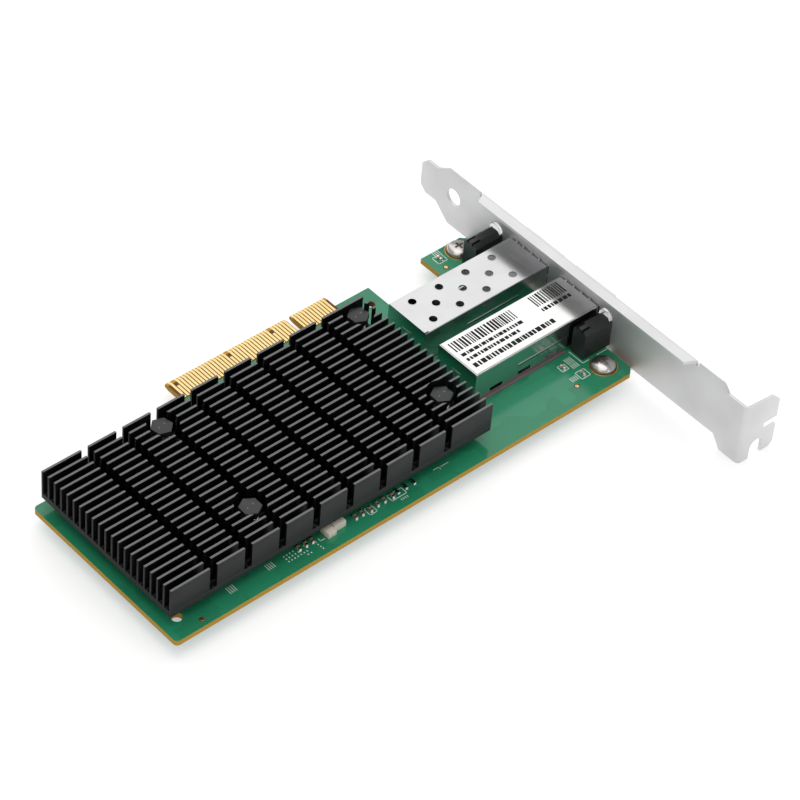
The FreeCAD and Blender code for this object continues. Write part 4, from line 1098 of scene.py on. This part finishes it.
@dataclass
class Studio:
    """The pale floor, the soft lights and the camera."""

    camera_place: Point = (-432.97, -476.87, 601.15)
    camera_right: Point = (0.7486, -0.6599, 0.0638)
    camera_down: Point = (-0.4282, -0.5547, -0.7133)
    lens: float = 155.44
    sensor: float = 36.0
    nearest: float = 0.05
    floor_size: float = 6.0
    paper: str = "#e2e2e2"
    paper_glow: float = 0.4
    aim: Point = (-10.0, -45.0, 5.0)
    lamps: Sequence[tuple[str, Point, float, float, float]] = (
        ("back_softbox", (0.5, 0.52, 0.72), 1.1, 1.6, 0.8),
        ("top_softbox", (-0.15, -0.1, 1.0), 1.1, 1.0, 1.0),
        ("left_fill", (-1.0, -0.35, 0.5), 1.3, 0.8, 0.45),
        ("near_fill", (0.3, -1.0, 0.45), 1.3, 0.8, 0.8),
    )
    room_light: float = 0.5
    room_seen: float = 1.0

    def place_camera(self) -> None:
        """Place the camera above the card's free end, looking across it to the bracket."""
        data = bpy.data.cameras.new("camera")
        data.lens = self.lens
        data.sensor_width = self.sensor
        data.clip_start = self.nearest
        right = Vector(self.camera_right).normalized()
        up = -Vector(self.camera_down)
        up = (up - right * up.dot(right)).normalized()
        back = right.cross(up)
        turn = Matrix((right, up, back)).transposed().to_4x4()
        camera = add_object("camera", data)
        camera.matrix_world = Matrix.Translation(Vector(self.camera_place) * MM) @ turn
        bpy.context.scene.camera = camera

    def lay_floor(self) -> None:
        """Lay the pale floor under the card's lowest point."""
        maker = bmesh.new()
        half = self.floor_size / 2
        low = CAD_BOX[0][2]
        corners = [(-half, -half), (half, -half), (half, half), (-half, half)]
        maker.faces.new([maker.verts.new((x, y, low)) for x, y in corners])
        data = bpy.data.meshes.new("floor")
        maker.to_mesh(data)
        maker.free()
        material = bpy.data.materials.new("matt_paper_sweep")
        material.use_nodes = True
        tree = material.node_tree
        tree.nodes.clear()
        ray = add_node(tree, "LightPath").outputs
        seen = ray["Is Camera Ray"]
        for other in ("Is Glossy Ray", "Is Transmission Ray"):
            seen = add_node(tree, "Math", {"operation": "MAXIMUM", 0: seen, 1: ray[other]}).outputs[0]
        strength = add_node(tree, "Math", {"operation": "MULTIPLY", 0: seen, 1: self.paper_glow})
        paper = add_node(tree, "BsdfDiffuse", {"Color": self.paper})
        glow = add_node(tree, "Emission", {"Color": WHITE, "Strength": strength.outputs[0]})
        both = add_node(tree, "AddShader", {0: paper.outputs[0], 1: glow.outputs[0]})
        add_node(tree, "OutputMaterial", {"Surface": both.outputs[0]})
        data.materials.append(material)
        floor = add_object("floor", data)

    def hang_light(self, name: str, direction: Point, distance: float, size: float,
                   radiance: float) -> None:
        """Hang a soft box that looks at the card.

        Args:
            name: The lamp's name.
            direction: From the card towards the lamp.
            distance: How far off it hangs, in metres.
            size: Its side, in metres.
            radiance: How bright its face is, where one is white.
        """
        data = bpy.data.lights.new(name, "AREA")
        data.shape = "SQUARE"
        data.size = size
        data.energy = radiance * math.pi * size * size
        lamp = add_object(name, data)
        away = Vector(direction).normalized()
        lamp.location = Vector(self.aim) * MM + away * distance
        lamp.rotation_euler = away.to_track_quat("Z", "Y").to_euler()

    def light_world(self) -> None:
        """Fill the room with even white, pure white to the camera."""
        world = bpy.data.worlds.new("room")
        bpy.context.scene.world = world
        world.use_nodes = True
        tree = world.node_tree
        tree.nodes.clear()
        ray = add_node(tree, "LightPath")
        strength = add_node(tree, "Mix", {
            "data_type": "FLOAT", 0: ray.outputs["Is Camera Ray"], 2: self.room_light, 3: self.room_seen,
        })
        glow = add_node(tree, "Background", {"Color": WHITE, "Strength": strength.outputs[0]})
        add_node(tree, "OutputWorld", {"Surface": glow.outputs[0]})

    def build(self) -> None:
        """Set up the whole studio."""
        self.place_camera()
        self.lay_floor()
        for lamp in self.lamps:
            self.hang_light(*lamp)
        self.light_world()
        bpy.context.scene.view_settings.view_transform = "Standard"


def main() -> None:
    """Build every sub-assembly in order and report each one."""
    logging.basicConfig(level=logging.INFO, format="%(name)s: %(message)s")
    for finish, nodes in CAD_FINISHES.items():
        finish.dress(*nodes)
    for assembly in (Studio(), CircuitBoard(), HeatSink(), PushPins(), PanHeadScrews(), ProductLabel(),
                     CageDetails(), SolderedParts()):
        assembly.build()
        LOG.info("%s done", type(assembly).__name__)


if __name__ == "__main__":
    main()
